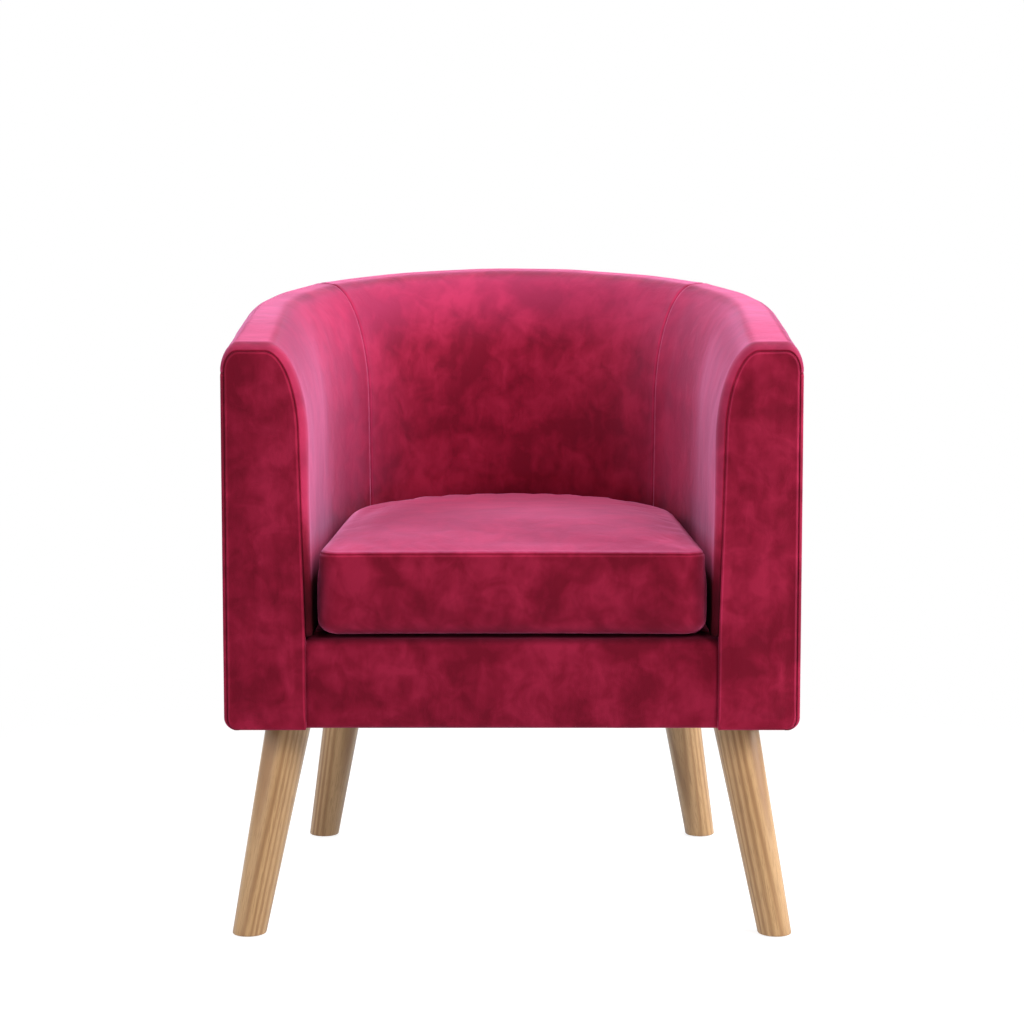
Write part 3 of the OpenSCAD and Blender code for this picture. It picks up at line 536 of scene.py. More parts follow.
def inside_loop(points, loop):
    """Which of the flat points lie inside a closed loop."""
    a, b = loop, np.roll(loop, -1, axis=0)
    x, y = points[:, None, 0], points[:, None, 1]
    crosses = (a[:, 1] > y) != (b[:, 1] > y)
    rise = np.where(b[:, 1] == a[:, 1], 1.0, b[:, 1] - a[:, 1])
    at = a[:, 0] + (y - a[:, 1]) / rise * (b[:, 0] - a[:, 0])
    return (crosses & (x < at)).sum(1) % 2 == 1


def filling(loop, spacing, holes=()):
    """New flat points inside a loop, and triangles over the loop's points and the new ones.

    A hole is a middle and a radius; its rim is among the new points."""
    low, high = loop.min(0), loop.max(0)
    rows = np.arange(low[1] + 0.5 * spacing, high[1], 0.87 * spacing)
    spots = np.array([(x, y) for i, y in enumerate(rows)
                      for x in np.arange(low[0] + (0.25 + 0.5 * (i % 2)) * spacing, high[0], spacing)])
    spots = spots[inside_loop(spots, loop)]
    spots = spots[nearest(loop, spots) > 0.55 * spacing]
    rims = []
    for middle, radius in holes:
        spots = spots[np.linalg.norm(spots - middle, axis=1) > radius + 0.5 * spacing]
        a = np.radians(np.arange(0.0, 360.0, 10.0))
        rims.append(middle + radius * np.stack([np.cos(a), np.sin(a)], -1))
    new = np.vstack([spots, *rims])
    spread = np.vstack([loop, new])
    given = [Vector(q) for q in spread.tolist()]
    made = geometry.delaunay_2d_cdt(given, [], [list(range(len(loop)))], 1, 1e-7)
    triangles = []
    for f in made[2]:
        face = [made[3][i][0] for i in f]
        centre = spread[face].mean(0)
        if all(np.linalg.norm(centre - m) > r * 0.99 for m, r in holes):
            triangles.append(face)
    return new, triangles


def nearest(loop, points):
    """Distance of flat points from the nearest point of a loop."""
    return np.linalg.norm(points[:, None] - loop[None], axis=-1).min(1)


# ---- soft filling ----


def held_by(seams, near=0.004, far=0.022):
    """A function that gives points a weight of 1 beside the seams and 0 far from them."""
    tree = tree_of(seams)

    def weights(points):
        away = np.array([tree.find(q)[2] for q in np.asarray(points).reshape(-1, 3).tolist()])
        return 1.0 - smooth(near, far, away)

    return weights


def swell(points, faces, held, pressure, slack=-0.015, voxel=0.0, steps=20):
    """Blows a skin up as cloth that its seams hold, and gives its points and how each moves.

    With a voxel size the closed skin is first remeshed evenly."""
    scene = bpy.context.scene
    trial = linked("trial", mesh_of("trial", points, faces))
    if voxel:
        even = trial.modifiers.new("Even", "REMESH")
        even.mode, even.voxel_size = "VOXEL", voxel
        graph = bpy.context.evaluated_depsgraph_get()
        trial.data = bpy.data.meshes.new_from_object(trial.evaluated_get(graph))
        trial.modifiers.clear()
    start, normal = vectors(trial.data.vertices, "co"), vectors(trial.data.vertex_normals, "vector")
    group = trial.vertex_groups.new(name="held")
    for i, w in enumerate(held(start).tolist()):
        group.add([i], w, "REPLACE")
    cloth = trial.modifiers.new("Cloth", "CLOTH")
    stuff = cloth.settings
    stuff.quality, stuff.mass, stuff.air_damping = 5, 0.3, 2.0
    stuff.tension_stiffness, stuff.compression_stiffness, stuff.shear_stiffness = 15.0, 10.0, 5.0
    stuff.bending_stiffness, stuff.shrink_min = 0.2, slack
    stuff.vertex_group_mass, stuff.pin_stiffness = "held", 1.0
    stuff.use_pressure, stuff.uniform_pressure_force = True, pressure
    stuff.effector_weights.gravity = 0.0
    cloth.point_cache.frame_start, cloth.point_cache.frame_end = 1, steps
    for step in range(1, steps + 1):
        scene.frame_set(step)
    graph = bpy.context.evaluated_depsgraph_get()
    move = vectors(trial.evaluated_get(graph).data.vertices, "co") - start
    bpy.data.objects.remove(trial)
    scene.frame_set(1)
    inwards = np.minimum(np.einsum("ij,ij->i", move, normal), 0.0)
    return start, move - 0.8 * inwards[:, None] * normal


def carried(start, move, points, cap):
    """The movement of a trial skin passed on to other points, and held under a cap."""
    shape = np.asarray(points).shape
    if move is None:
        return np.zeros(shape)
    tree, passed = tree_of(start), []
    for q in np.asarray(points).reshape(-1, 3).tolist():
        near = tree.find_n(q, 5)
        weight = np.array([1.0 / (d + 0.0006) ** 2 for _, _, d in near])
        passed.append((move[[i for _, i, _ in near]] * weight[:, None]).sum(0) / weight.sum())
    passed = np.array(passed)
    size = np.maximum(np.linalg.norm(passed, axis=1, keepdims=True), 1e-9)
    return (passed * cap * np.tanh(size / cap) / size).reshape(shape)


def spaced(run, step):
    """Places along a row that lie at least step apart, with both its ends."""
    keep = [0]
    for i in range(1, len(run) - 1):
        if run[i] - run[keep[-1]] >= step and run[-1] - run[i] >= 0.6 * step:
            keep.append(i)
    return keep + [len(run) - 1]


def swollen_grid(grid, normals, seams, pressure, cap, step=0.009):
    """How far each point of a grid moves when the skin over it is blown up between its seams."""
    rows = spaced(lengths(grid, 0).mean(1), step)
    cols = spaced(lengths(grid, 1).mean(0), step)
    coarse = grid[np.ix_(rows, cols)]
    faces, _ = outward_quads(coarse, normals[np.ix_(rows, cols)])
    start, move = swell(coarse, faces, held_by(seams), pressure)
    if move is not None:
        most = np.percentile(np.linalg.norm(move, axis=1), 90)
        move = move * min(1.0, 1.4 * cap / most)
    return carried(start, move, grid, cap)


def mirrored(obj, name):
    """A copy of a piece on the other side of the chair."""
    mesh = obj.data.copy()
    mesh.name = name
    mesh.transform(Matrix.Scale(-1.0, 4, Vector((1.0, 0.0, 0.0))))
    mesh.flip_normals()
    twin = linked(name, mesh)
    for source in obj.modifiers:
        made = twin.modifiers.new(source.name, source.type)
        for p in source.bl_rna.properties:
            if not p.is_readonly:
                setattr(made, p.identifier, getattr(source, p.identifier))
    return twin


def thicken(obj, thickness=VELVET_THICK, offset=-1.0):
    """Gives a skin its thickness, on the side away from its face unless the offset is 1."""
    m = obj.modifiers.new("Thickness", "SOLIDIFY")
    m.thickness, m.offset = thickness, offset
    return obj


def dress(obj, material, slot, body, *nodes):
    """Gives a piece its material and its place in the chair."""
    obj.data.materials.clear()
    obj.data.materials.append(material)
    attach(obj, body)
    if nodes:
        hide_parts(*nodes)
    return obj


# ---- materials ----


class Tree:
    """Adds nodes to a node tree and links them."""

    def __init__(self, tree):
        self.nodes, self.links, self.column = tree.nodes, tree.links, 0

    def add(self, kind, inputs=(), **settings):
        node = self.nodes.new(kind)
        node.location = (self.column, 0)
        self.column -= 180
        for k, v in settings.items():
            setattr(node, k, v)
        self.feed(node, inputs)
        return node

    def feed(self, node, inputs):
        """Links or sets a node's sockets."""
        for k, v in dict(inputs).items():
            if isinstance(v, bpy.types.NodeSocket):
                self.links.new(v, node.inputs[k])
            else:
                node.inputs[k].default_value = v

    def math(self, operation, a, b=0.0):
        """A sum, a product or the like of two values."""
        return self.add("ShaderNodeMath", {0: a, 1: b}, operation=operation).outputs[0]

    def vector(self, operation, inputs, output=0):
        """The same for vectors."""
        return self.add("ShaderNodeVectorMath", inputs, operation=operation).outputs[output]

    def place(self):
        return self.add("ShaderNodeTexCoord").outputs["Object"]

    def attribute(self, name, output):
        return self.add("ShaderNodeAttribute", attribute_name=name).outputs[output]

    def mix(self, factor, a, b):
        """Colour a, and b where the factor is 1."""
        return self.add("ShaderNodeMix", {0: factor, 6: a, 7: b}, data_type="RGBA").outputs[2]

    def stretch(self, value, low, high, to_low=0.0, to_high=1.0, **settings):
        """A value from low to high brought to another range, and held inside it."""
        return self.add("ShaderNodeMapRange", {
            "Value": value, "From Min": low, "From Max": high, "To Min": to_low, "To Max": to_high},
            **settings).outputs["Result"]

    def shader(self, kind, colour, **values):
        """A plain shader of one colour."""
        return self.add("ShaderNode" + kind, {"Color": (*colour, 1.0), **values}).outputs[0]

    def ramp(self, factor, stops):
        """A colour that changes between stops."""
        node = self.add("ShaderNodeValToRGB", {"Fac": factor})
        ramp = node.color_ramp
        while len(ramp.elements) < len(stops):
            ramp.elements.new(0.5)
        for e, (place, colour) in zip(ramp.elements, stops):
            e.position, e.color = place, (*colour, 1.0)
        return node.outputs["Color"]

    def noise(self, vector, size, detail=2.0, rough=0.5, distortion=0.0):
        """Noise with features of about a size, in metres."""
        return self.add("ShaderNodeTexNoise", {
            "Vector": vector, "Scale": 1.0 / size, "Detail": detail,
            "Roughness": rough, "Distortion": distortion}).outputs["Fac"]

    def scaled(self, vector, scale):
        return self.add("ShaderNodeMapping", {"Vector": vector, "Scale": scale}).outputs["Vector"]

    def bump(self, height, distance, strength=1.0, normal=None):
        inputs = {"Height": height, "Distance": distance, "Strength": strength}
        if normal is not None:
            inputs["Normal"] = normal
        return self.add("ShaderNodeBump", inputs).outputs["Normal"]


def new_material(name):
    """A material, its tree and its shader."""
    material = bpy.data.materials.new(name)
    material.use_nodes = True
    tree = Tree(material.node_tree)
    shader = next(n for n in tree.nodes if n.type == "BSDF_PRINCIPLED")
    return material, tree, shader


def mixed(a, b, t):
    """Colour a, and b where t is 1."""
    return tuple(x + (y - x) * t for x, y in zip(a, b))


def velvet_material(look):
    """Cut pile: brushed patches, smudges, strokes along the cloth, fine tufts and a low sheen; its colour is
    scaled by the painted light and shade of each piece, with a painted sheen where that is brightest.
    """
    material, t, shader = new_material("velvet")
    place = t.place()
    cloth = t.add("ShaderNodeUVMap", uv_map="cover").outputs["UV"]
    cloud = t.noise(place, look.patch, 3.0, 0.55, 0.6)
    smudge = t.noise(place, look.patch * 0.30, 3.0, 0.55, 0.5)
    stroke = t.noise(t.scaled(cloth, (1.0, 0.30, 1.0)), 0.016, 3.0, 0.6, 0.4)
    # Random tone of the pile in patches, smudges and strokes, with no light in it.
    nap = t.math("ADD", t.math("MULTIPLY", cloud, 0.46), t.math("MULTIPLY", smudge, 0.38))
    nap = t.math("ADD", nap, t.math("MULTIPLY", stroke, 0.16))
    colour = t.ramp(nap, [(0.42, look.deep), (0.50, look.middle), (0.60, look.brushed)])
    tufts = t.noise(place, look.pile, 1.0, 0.5)
    under = (*mixed(look.deep, look.middle, 0.3), 1.0)
    colour = t.mix(t.math("MULTIPLY", tufts, 0.22), colour, under)
    # Each piece's painted light and shade, together with the way its pile lies.
    pile_light_and_shade = t.attribute("nap", "Fac")
    painted_sheen = t.stretch(pile_light_and_shade, 1.0, 1.4)
    # Painted sheen and painted light: calmed to the middle colour where brightest, scaled by the painted light
    # and shade, then pink added where brightest.
    colour = t.mix(t.math("MULTIPLY", painted_sheen, 0.5), colour, (*look.middle, 1.0))
    colour = t.vector("SCALE", {0: colour, "Scale": pile_light_and_shade})
    colour = t.vector("ADD", {0: colour, 1: t.vector("SCALE", {0: look.painted_sheen, "Scale": painted_sheen})})
    t.feed(shader, {
        "Base Color": colour,
        "Roughness": t.stretch(nap, 0.0, 1.0, 0.94, 0.80),
        "Normal": t.bump(tufts, 0.0004, 0.30, t.bump(nap, 0.004, 0.40)),
        "Specular IOR Level": 0.06,
        # The sheen follows the painted light: off in the painted seam shade, and a redder tint where the pile
        # is painted dark.
        "Sheen Weight": t.stretch(pile_light_and_shade, 0.25, 0.68, 0.0, 0.9),
        "Sheen Tint": t.mix(t.stretch(pile_light_and_shade, 0.65, 1.0), (*look.low_sheen, 1.0), (*look.sheen, 1.0)),
        "Sheen Roughness": SHEEN_ROUGHNESS})
    return material


def oak_material(look):
    """Lacquered oak: year rings drawn out along the leg, pores and a satin coat."""
    material, t, shader = new_material("oak")
    grain = t.attribute("grain", "Vector")
    wander = t.noise(t.scaled(grain, (1.0, 1.0, 0.10)), 0.030, 2.0)
    ring = t.add("ShaderNodeTexWave", {
        "Vector": t.scaled(grain, (1.0, 0.35, 0.035)), "Scale": 0.31 / look.ring,
        "Distortion": 5.0, "Detail": 2.5, "Detail Scale": 0.9, "Detail Roughness": 0.6},
        wave_type="BANDS", bands_direction="X", wave_profile="SIN").outputs["Fac"]
    pores = t.noise(t.scaled(grain, (1.0, 1.0, 0.035)), 0.0009, 2.0, 0.65)
    streak = t.math("ADD", t.math("MULTIPLY", ring, 0.36), t.math("MULTIPLY", wander, 0.64))
    between = mixed(look.dark, look.light, 0.62)
    colour = t.ramp(streak, [(0.26, look.dark), (0.52, between), (0.80, look.light)])
    open_pores = t.ramp(pores, [(0.34, (0.45, 0.45, 0.45)), (0.50, (1.0, 1.0, 1.0))])
    filled = (*mixed(look.dark, (0.1, 0.05, 0.02), 0.35), 1.0)
    t.feed(shader, {
        "Base Color": t.mix(open_pores, filled, colour),
        "Roughness": t.ramp(streak, [(0.2, (0.46,) * 3), (0.8, (0.34,) * 3)]),
        "Normal": t.bump(open_pores, 0.0002, 0.5),
        "Coat Weight": 0.12,
        "Coat Roughness": 0.30})
    return material


def plain_material(name, low, high, rough, size, bump, metallic=0.0, upright=1.0):
    """A mottled finish for the smaller pieces."""
    material, t, shader = new_material(name)
    speck = t.noise(t.scaled(t.place(), (1.0, 1.0, upright)), size, 3.0, 0.6)
    smooth_spots, rough_spots = (rough * 0.9,) * 3, (min(1.0, rough * 1.1),) * 3
    t.feed(shader, {
        "Base Color": t.ramp(speck, [(0.35, low), (0.65, high)]),
        "Normal": t.bump(speck, bump, 0.6),
        "Roughness": t.ramp(speck, [(0.3, smooth_spots), (0.7, rough_spots)]),
        "Metallic": metallic})
    return material


materials = {}


def make_materials():
    """All finishes, each made once."""
    if not materials:
        scene = bpy.context.scene
        materials["velvet"] = velvet_material(scene.tub_velvet)
        materials["oak"] = oak_material(scene.tub_oak)
        for name, values in FINISHES.items():
            materials[name] = plain_material(name, *values)
    return materials


# ---- velvet over the wall ----


def wall_cover(name, stations, seams, seed, rolled=True):
    """A cover of the wall, with its seams drawn in and its padding's slow waves."""
    look = bpy.context.scene.tub_upholstery
    grid = rolled_wall(stations) if rolled else outside_wall(stations)
    uv, normals = grid_uv(grid), grid_normals(grid)
    if np.einsum("ijk,ijk->ij", normals, outward_guide(grid, rolled)).mean() < 0:
        normals = -normals
    side = {"first": grid[:1], "last": grid[-1:], "tuck_first": grid[:, :1], "tuck_last": grid[:, -1:]}
    lift = look.softness * (noise_field(grid, 0.085, seed) + 0.45 * noise_field(grid, 0.034, seed + 5))
    hollow = np.zeros(grid.shape[:2])
    for seam in seams:
        distance = np.linalg.norm(grid - side[seam], axis=-1)
        if seam in ("first", "last"):
            hollow += seam_hollow(distance, look) + pucker_field(uv[..., 1], distance, look, seed)
        else:
            hollow += 0.3 * seam_hollow(distance, look)
    if not rolled:
        height = (grid[..., 2] - UNDERSIDE) / (grid[..., 2].max(1, keepdims=True) - UNDERSIDE)
        lift = lift + 0.0012 * np.sin(np.pi * np.clip(height, 0.0, 1.0))
    held = np.vstack([edge.reshape(-1, 3) for edge in side.values()])
    free = 1.0 - held_by(held, 0.0, 0.030)(grid).reshape(grid.shape[:2])
    give = WALL_GIVE[rolled]
    swelling = swollen_grid(grid, normals, held, look.pressure, give)
    sunk = 0.35 * give * free
    grid = grid + swelling + normals * (lift * free + hollow - sunk)[..., None]
    # Painted light and shade: the inside covers' own pattern of it, a plain darker tone outside, and painted
    # shade at every edge with a painted highlight on the ridge of each sewn seam.
    nap = wall_light_and_shade(grid, normals) if rolled else np.full(grid.shape[:2], PILE_AND_LIGHT_OUTSIDE)
    for seam, edge in side.items():
        nap = nap * seam_shade(np.linalg.norm(grid - edge, axis=-1), 0.35 * (seam in seams))
    return thicken(grid_object(name, grid, normals, uv, nap))


def wall_light_and_shade(grid, normals):
    """Painted light and shade of the inside covers, partly from the way the pile lies: brighter on the arms
    than on the back, a painted highlight along the top of the back, painted shade low down beside the cushion,
    on the flat top, on the front of the right arm's inside and close to the facings.
    """
    beyond = grid[..., 1] - FRONT - STRAIGHT
    angle = np.degrees(np.arctan2(beyond, np.abs(grid[..., 0])))
    across = PILE_AND_LIGHT_ARM + (PILE_AND_LIGHT_BACK - PILE_AND_LIGHT_ARM) * smooth(15.0, 65.0, angle)
    below = grid[..., 2] - top_of(grid[..., 1] - FRONT)
    # Painted highlight along the top of the back.
    painted_crest_light = 1.0 + 0.35 * smooth(-0.10, -0.01, below) * smooth(20.0, 60.0, angle)
    # Painted shade low down, beside the cushion.
    low = 0.12 + 0.88 * smooth(DECK + 0.04, DECK + 0.15, grid[..., 2])
    # Painted shade on the flat, up-facing top.
    flat = 1.0 - 0.42 * smooth(0.70, 0.97, normals[..., 2])
    inset = grid[..., 1] - FRONT
    # Painted shade on the front of the right arm's inside.
    against = 1.0 - 0.13 * smooth(0.10, 0.20, grid[..., 0]) * (1.0 - smooth(0.08, 0.22, inset))
    # All multiplied together, with painted shade close to the facing.
    return across * painted_crest_light * low * flat * against * (0.90 + 0.10 * smooth(0.0, 0.020, inset))


def outward_guide(grid, rolled):
    """A rough outward direction at each point of a wall cover."""
    if rolled:
        half = grid.shape[1] // 2
        guide = grid - (0.5 * (grid[:, :1] + grid[:, half:half + 1]) - (0.0, 0.0, 0.06))
    else:
        guide = grid - np.array([0.0, FRONT + STRAIGHT, 0.5])
        guide[..., 2] = 0.0
    return guide / np.maximum(np.linalg.norm(guide, axis=-1, keepdims=True), 1e-9)


class TUBCHAIR_OT_wall_covers(bpy.types.Operator):
    """Make the velvet over the arms and the back, inside and outside"""

    bl_idname = "tubchair.wall_covers"
    bl_label = "Wall covers"

    def execute(self, context):
        velvet = make_materials()["velvet"]
        arm, back = arm_stations(), back_stations()
        for rolled, part, edge in ((True, "inside", "tuck_first"), (False, "outside", "tuck_last")):
            right = wall_cover(f"right_arm_{part}", arm, ["last", edge], 3 + 10 * rolled, rolled)
            left = mirrored(right, f"left_arm_{part}")
            middle = wall_cover(f"back_{part}", back, ["first", "last", edge], 7 + 10 * rolled, rolled)
            for obj, side, foam, cover, size in (
                    (right, "right", "right_arm_foam", f"right_{part}_cover", (0.47, 0.50)),
                    (left, "left", "left_arm_foam", f"left_{part}_cover", (0.47, 0.50)),
                    (middle, "back", "back_foam", f"{part}_back_cover", (0.68, 0.53))):
                if rolled:
                    dress(obj, velvet, "velvet", "chair_frame", cover, foam)
                else:
                    dress(obj, velvet, "velvet", "chair_frame", cover)
        return {"FINISHED"}


# ---- arm facings ----


def facing_outline(gap, spacing=0.004):
    """Points round an arm facing, in x and z, from its outer lower corner up and over."""
    outer, upper, inner, low = (EDGE * k + gap for k in (1.0, EDGE_TOP, EDGE_INNER, EDGE_LOW))
    (rw, rh), (cw, ch) = ARM_ROLL, CORNER
    a = angles(90.0, 0.0, 10)
    hem = np.stack([HALF_WIDTH - HEM + (HEM - outer) * np.cos(a),
                    UNDERSIDE + HEM - (HEM - FACING_HEM) * np.sin(a)], -1)
    a = angles(0.0, 90.0, 12)
    corner = np.stack([HALF_WIDTH - cw + (cw - outer) * np.cos(a),
                       ARM_TOP - ch + (ch - upper) * np.sin(a)], -1)
    a = angles(90.0, 0.0, 24)
    roll = np.stack([HALF_WIDTH - WALL + rw - (rw - inner) * np.cos(a),
                     ARM_TOP - rh + (rh - upper) * np.sin(a)], -1)
    lean = WALL_LEAN * (ARM_TOP - rh - DECK)
    lap = BORDER_HALF - FACING_LAP
    beside = [(HALF_WIDTH - WALL - lean + low, DECK), (lap, DECK - 0.004), (lap, UNDERSIDE)]
    fold = [(HALF_WIDTH - FOLD, UNDERSIDE), (HALF_WIDTH - FOLD, UNDERSIDE + FACING_HEM)]
    return even_loop(np.vstack([fold, hem, corner, roll, beside, fold[:1]]), spacing)


class TUBCHAIR_OT_arm_facings(bpy.types.Operator):
    """Make the swelled velvet facings at the front of the arms"""

    bl_idname = "tubchair.arm_facings"
    bl_label = "Arm facings"

    def execute(self, context):
        look = context.scene.tub_upholstery
        right = facing(look)
        left = mirrored(right, "left_arm_facing")
        # Painted light: the right facing's brightness raised, on the side the key lamp falls
        pile = right.data.attributes["nap"].data
        shades = np.empty(len(pile), np.float32)
        pile.foreach_get("value", shades)
        pile.foreach_set("value", shades * RIGHT_FACING_PAINTED_LIGHT)
        velvet = make_materials()["velvet"]
        for piece, side in ((right, "right"), (left, "left")):
            dress(piece, velvet, "velvet", "chair_frame", f"{side}_facing_cover", f"{side}_facing_pad")
        return {"FINISHED"}


def facing(look):
    """The right facing: rings drawn inwards from its rim, and triangles inside the last."""
    rim = facing_outline(SEAM_GAP)
    low, high = rim[:, 1].min(), rim[:, 1].max()
    half = 0.5 * (rim[:, 0].max() - rim[:, 0].min())
    middle = np.stack([np.full(len(rim), 0.5 * (rim[:, 0].max() + rim[:, 0].min())),
                       np.clip(rim[:, 1], low + half, high - half)], -1)
    reach = np.linalg.norm(middle - rim, axis=1, keepdims=True)
    depths = (0.0, 0.0, 0.0003, 0.0009, 0.0017, 0.0027, 0.0040, 0.0058, 0.008, 0.011, 0.015, 0.020)
    rings = [rim + (middle - rim) * d / reach for d in depths]
    inner, triangles = filling(rings[-1], 0.0055)
    flat = np.vstack(rings + [inner])
    d = np.concatenate([np.repeat(depths, len(rim)), nearest(rim, inner)])
    back = facing_depth(d, look)
    turned_under = 1.0 - smooth(UNDERSIDE + 0.0006, UNDERSIDE + 0.0040, rim[:, 1])
    back[:len(rim)] += FACING_TURNING + FACING_FOLD * turned_under
    points = np.stack([flat[:, 0], FRONT + back, flat[:, 1]], -1)
    quads = four_corners(numbered(len(rings), len(rim), closed=True))
    on_the_face = quads[6 * len(rim)]
    if not toward_front(points[on_the_face]):
        quads = quads[:, ::-1]
    last = (len(rings) - 1) * len(rim)
    inner_faces = renumbered(triangles, last, len(rim), last + len(rim))
    faces = [list(q) for q in quads] + [f if toward_front(points[f]) else f[::-1] for f in inner_faces]
    within_seam = rings[5][::2]
    points += blown_facing(within_seam, points, look)
    calm = smooth(0.0, 0.02, d)
    wave = noise_field(points, 0.075, 31) + 0.5 * noise_field(points, 0.030, 33)
    sunk = 0.7 * FACING_GIVE
    points[:, 1] += sunk * calm - look.softness * 0.8 * wave * calm
    along = np.concatenate([np.tile(run_of(rim), len(rings)), np.zeros(len(inner))])
    points[:, 1] -= pucker_field(along, d, look, 41, reach=0.009)
    corner_uv = np.concatenate([points[f][:, [0, 2]] for f in faces])
    # Painted shade in the seam round the facing and a painted highlight on its ridge, left off at the folded
    # hem.
    sewn = smooth(UNDERSIDE + 0.004, UNDERSIDE + 0.014, points[:, 2])
    nap = PILE_AND_LIGHT_FRONT * (1.0 + (seam_shade(d, 0.6) - 1.0) * sewn)
    return thicken(skin("right_arm_facing", points, faces, corner_uv, nap))


def facing_depth(d, look):
    """How far back a facing lies at a distance from its rim: seam, ridge and swell."""
    ridge = 0.0005 * np.exp(-((d - 0.0026) / 0.0012) ** 2)
    return 0.0011 * np.exp(-(d / 0.0009) ** 1.4) - ridge - look.facing_swell * (1.0 - np.exp(-d / 0.010))


def blown_facing(loop, points, look):
    """How the points of a facing move when its filling pushes a flat trial skin forwards."""
    more, parts = filling(loop, 0.008)
    trial = np.vstack([loop, more])
    trial = np.stack([trial[:, 0], np.full(len(trial), FRONT), trial[:, 1]], -1)
    parts = [f if toward_front(trial[f]) else f[::-1] for f in parts]
    start, move = swell(trial, parts, held_by(trial[:len(loop)]), look.pressure, slack=-0.010)
    return carried(start, move, points * (1.0, 0.0, 1.0) + (0.0, FRONT, 0.0), FACING_GIVE)


def toward_front(corners):
    """Whether a face turns to the front of the chair."""
    return np.cross(corners[1] - corners[0], corners[2] - corners[0])[1] < 0


# ---- front border ----


class TUBCHAIR_OT_front_border(bpy.types.Operator):
    """Make the padded border under the front of the cushion"""

    bl_idname = "tubchair.front_border"
    bl_label = "Front border"

    def execute(self, context):
        look = context.scene.tub_upholstery
        profile = border_profile()
        xs = near_ends(2 * BORDER_HALF, 0.008, 0.0005) - BORDER_HALF
        grid = np.stack([np.column_stack([np.full(len(profile), x), profile + (FRONT, 0.0)]) for x in xs])
        normals, uv = grid_normals(grid), grid_uv(grid)
        if normals[len(xs) // 2, len(profile) // 2, 1] > 0:
            normals = -normals
        end = look.border_end
        t = np.clip((np.abs(grid[..., 0]) - (BORDER_HALF - end)) / end, 0.0, 1.0)
        drop = end * 0.55 * (1.0 - np.sqrt(np.maximum(1.0 - t ** 2, 0.0)))
        calm = 1.0 - smooth(0.0, 1.0, t)
        wave = noise_field(grid, 0.085, 51) + 0.5 * noise_field(grid, 0.034, 53)
        height = grid[..., 2]
        bulge = 0.0010 * smooth(0.0, 0.05, height - UNDERSIDE) * smooth(0.0, 0.04, BORDER_TOP - height)
        held = np.vstack([grid[0], grid[-1], grid[:, 0], grid[:, -1]])
        swelling = swollen_grid(grid, normals, held, look.pressure, BORDER_GIVE)
        bulge = bulge - 0.5 * BORDER_GIVE
        grid = grid + swelling + normals * ((look.softness * wave + bulge) * calm - drop)[..., None]
        # Painted shade along the top of the border, under the cushion's edge.
        nap = PILE_AND_LIGHT_FRONT * (1.0 - 0.55 * smooth(BORDER_TOP - 0.009, BORDER_TOP, grid[..., 2]))
        obj = thicken(grid_object("front_border", grid, normals, uv, nap), 0.0016)
        dress(obj, make_materials()["velvet"], "velvet", "chair_frame", "border_cover", "border_foam")
        return {"FINISHED"}


def border_profile(under=0.006, roll=0.014):
    """Section of the border in y and z: fold under the frame, face, rolled top and back edge."""
    face = BORDER_SET_BACK
    a = angles(90.0, 0.0, 8)
    lower = np.stack([face + under * (1 - np.cos(a)), UNDERSIDE + under * (1 - np.sin(a))], -1)
    a = angles(0.0, 90.0, 14)
    upper = np.stack([face + roll * (1 - np.cos(a)), BORDER_TOP - roll + roll * np.sin(a)], -1)
    side = np.linspace(lower[-1], upper[0], 20)[1:-1]
    fold = np.linspace((0.032, UNDERSIDE), lower[0], 6)[:-1]
    back = np.linspace(upper[-1], (DECK_FRONT - 0.0004, DECK - 0.0002), 9)[1:]
    return np.vstack([fold, lower, side, upper, back])


# ---- seat cushion ----


def cushion_outline(inset, count=300):
    """Points round the cushion at an inset, from its back middle, anticlockwise from above."""
    half, r = CUSHION_HALF - inset, CUSHION_R - inset
    corner = max(0.004, CUSHION_CORNER - inset)
    y0 = CUSHION_FRONT + inset
    x = np.linspace(0.0, half - corner, 30)[:-1]
    front = np.stack([x, y0 + 0.004 * (1 - (x / half) ** 2)], -1)
    a = angles(-90.0, 0.0, 16)
    bend = np.stack([half - corner + corner * np.cos(a), y0 + corner + corner * np.sin(a)], -1)
    t = np.linspace(0.0, 1.0, 24)[1:-1]
    side = np.stack([half + (r - half) * t - 0.0015 * np.sin(np.pi * t),
                     y0 + corner + (CUSHION_Y - y0 - corner) * t], -1)
    a = angles(0.0, 90.0, 50)
    back = np.stack([r * np.cos(a), CUSHION_Y + r * np.sin(a)], -1)
    right = np.vstack([front, bend, side, back])
    whole = np.vstack([(right * (-1.0, 1.0))[::-1], right[1:]])
    length = run_of(whole)[-1]
    zip_end = math.radians(ZIP_HALF_ANGLE + 0.5) * r / length
    finer = np.linspace(-0.003, 0.003, 9) / length
    even = np.linspace(0.0, 1.0, count, endpoint=False)
    places = np.sort(np.concatenate([even, zip_end + finer, 1 - zip_end - finer])) * length
    return points_at(whole, places), places, length


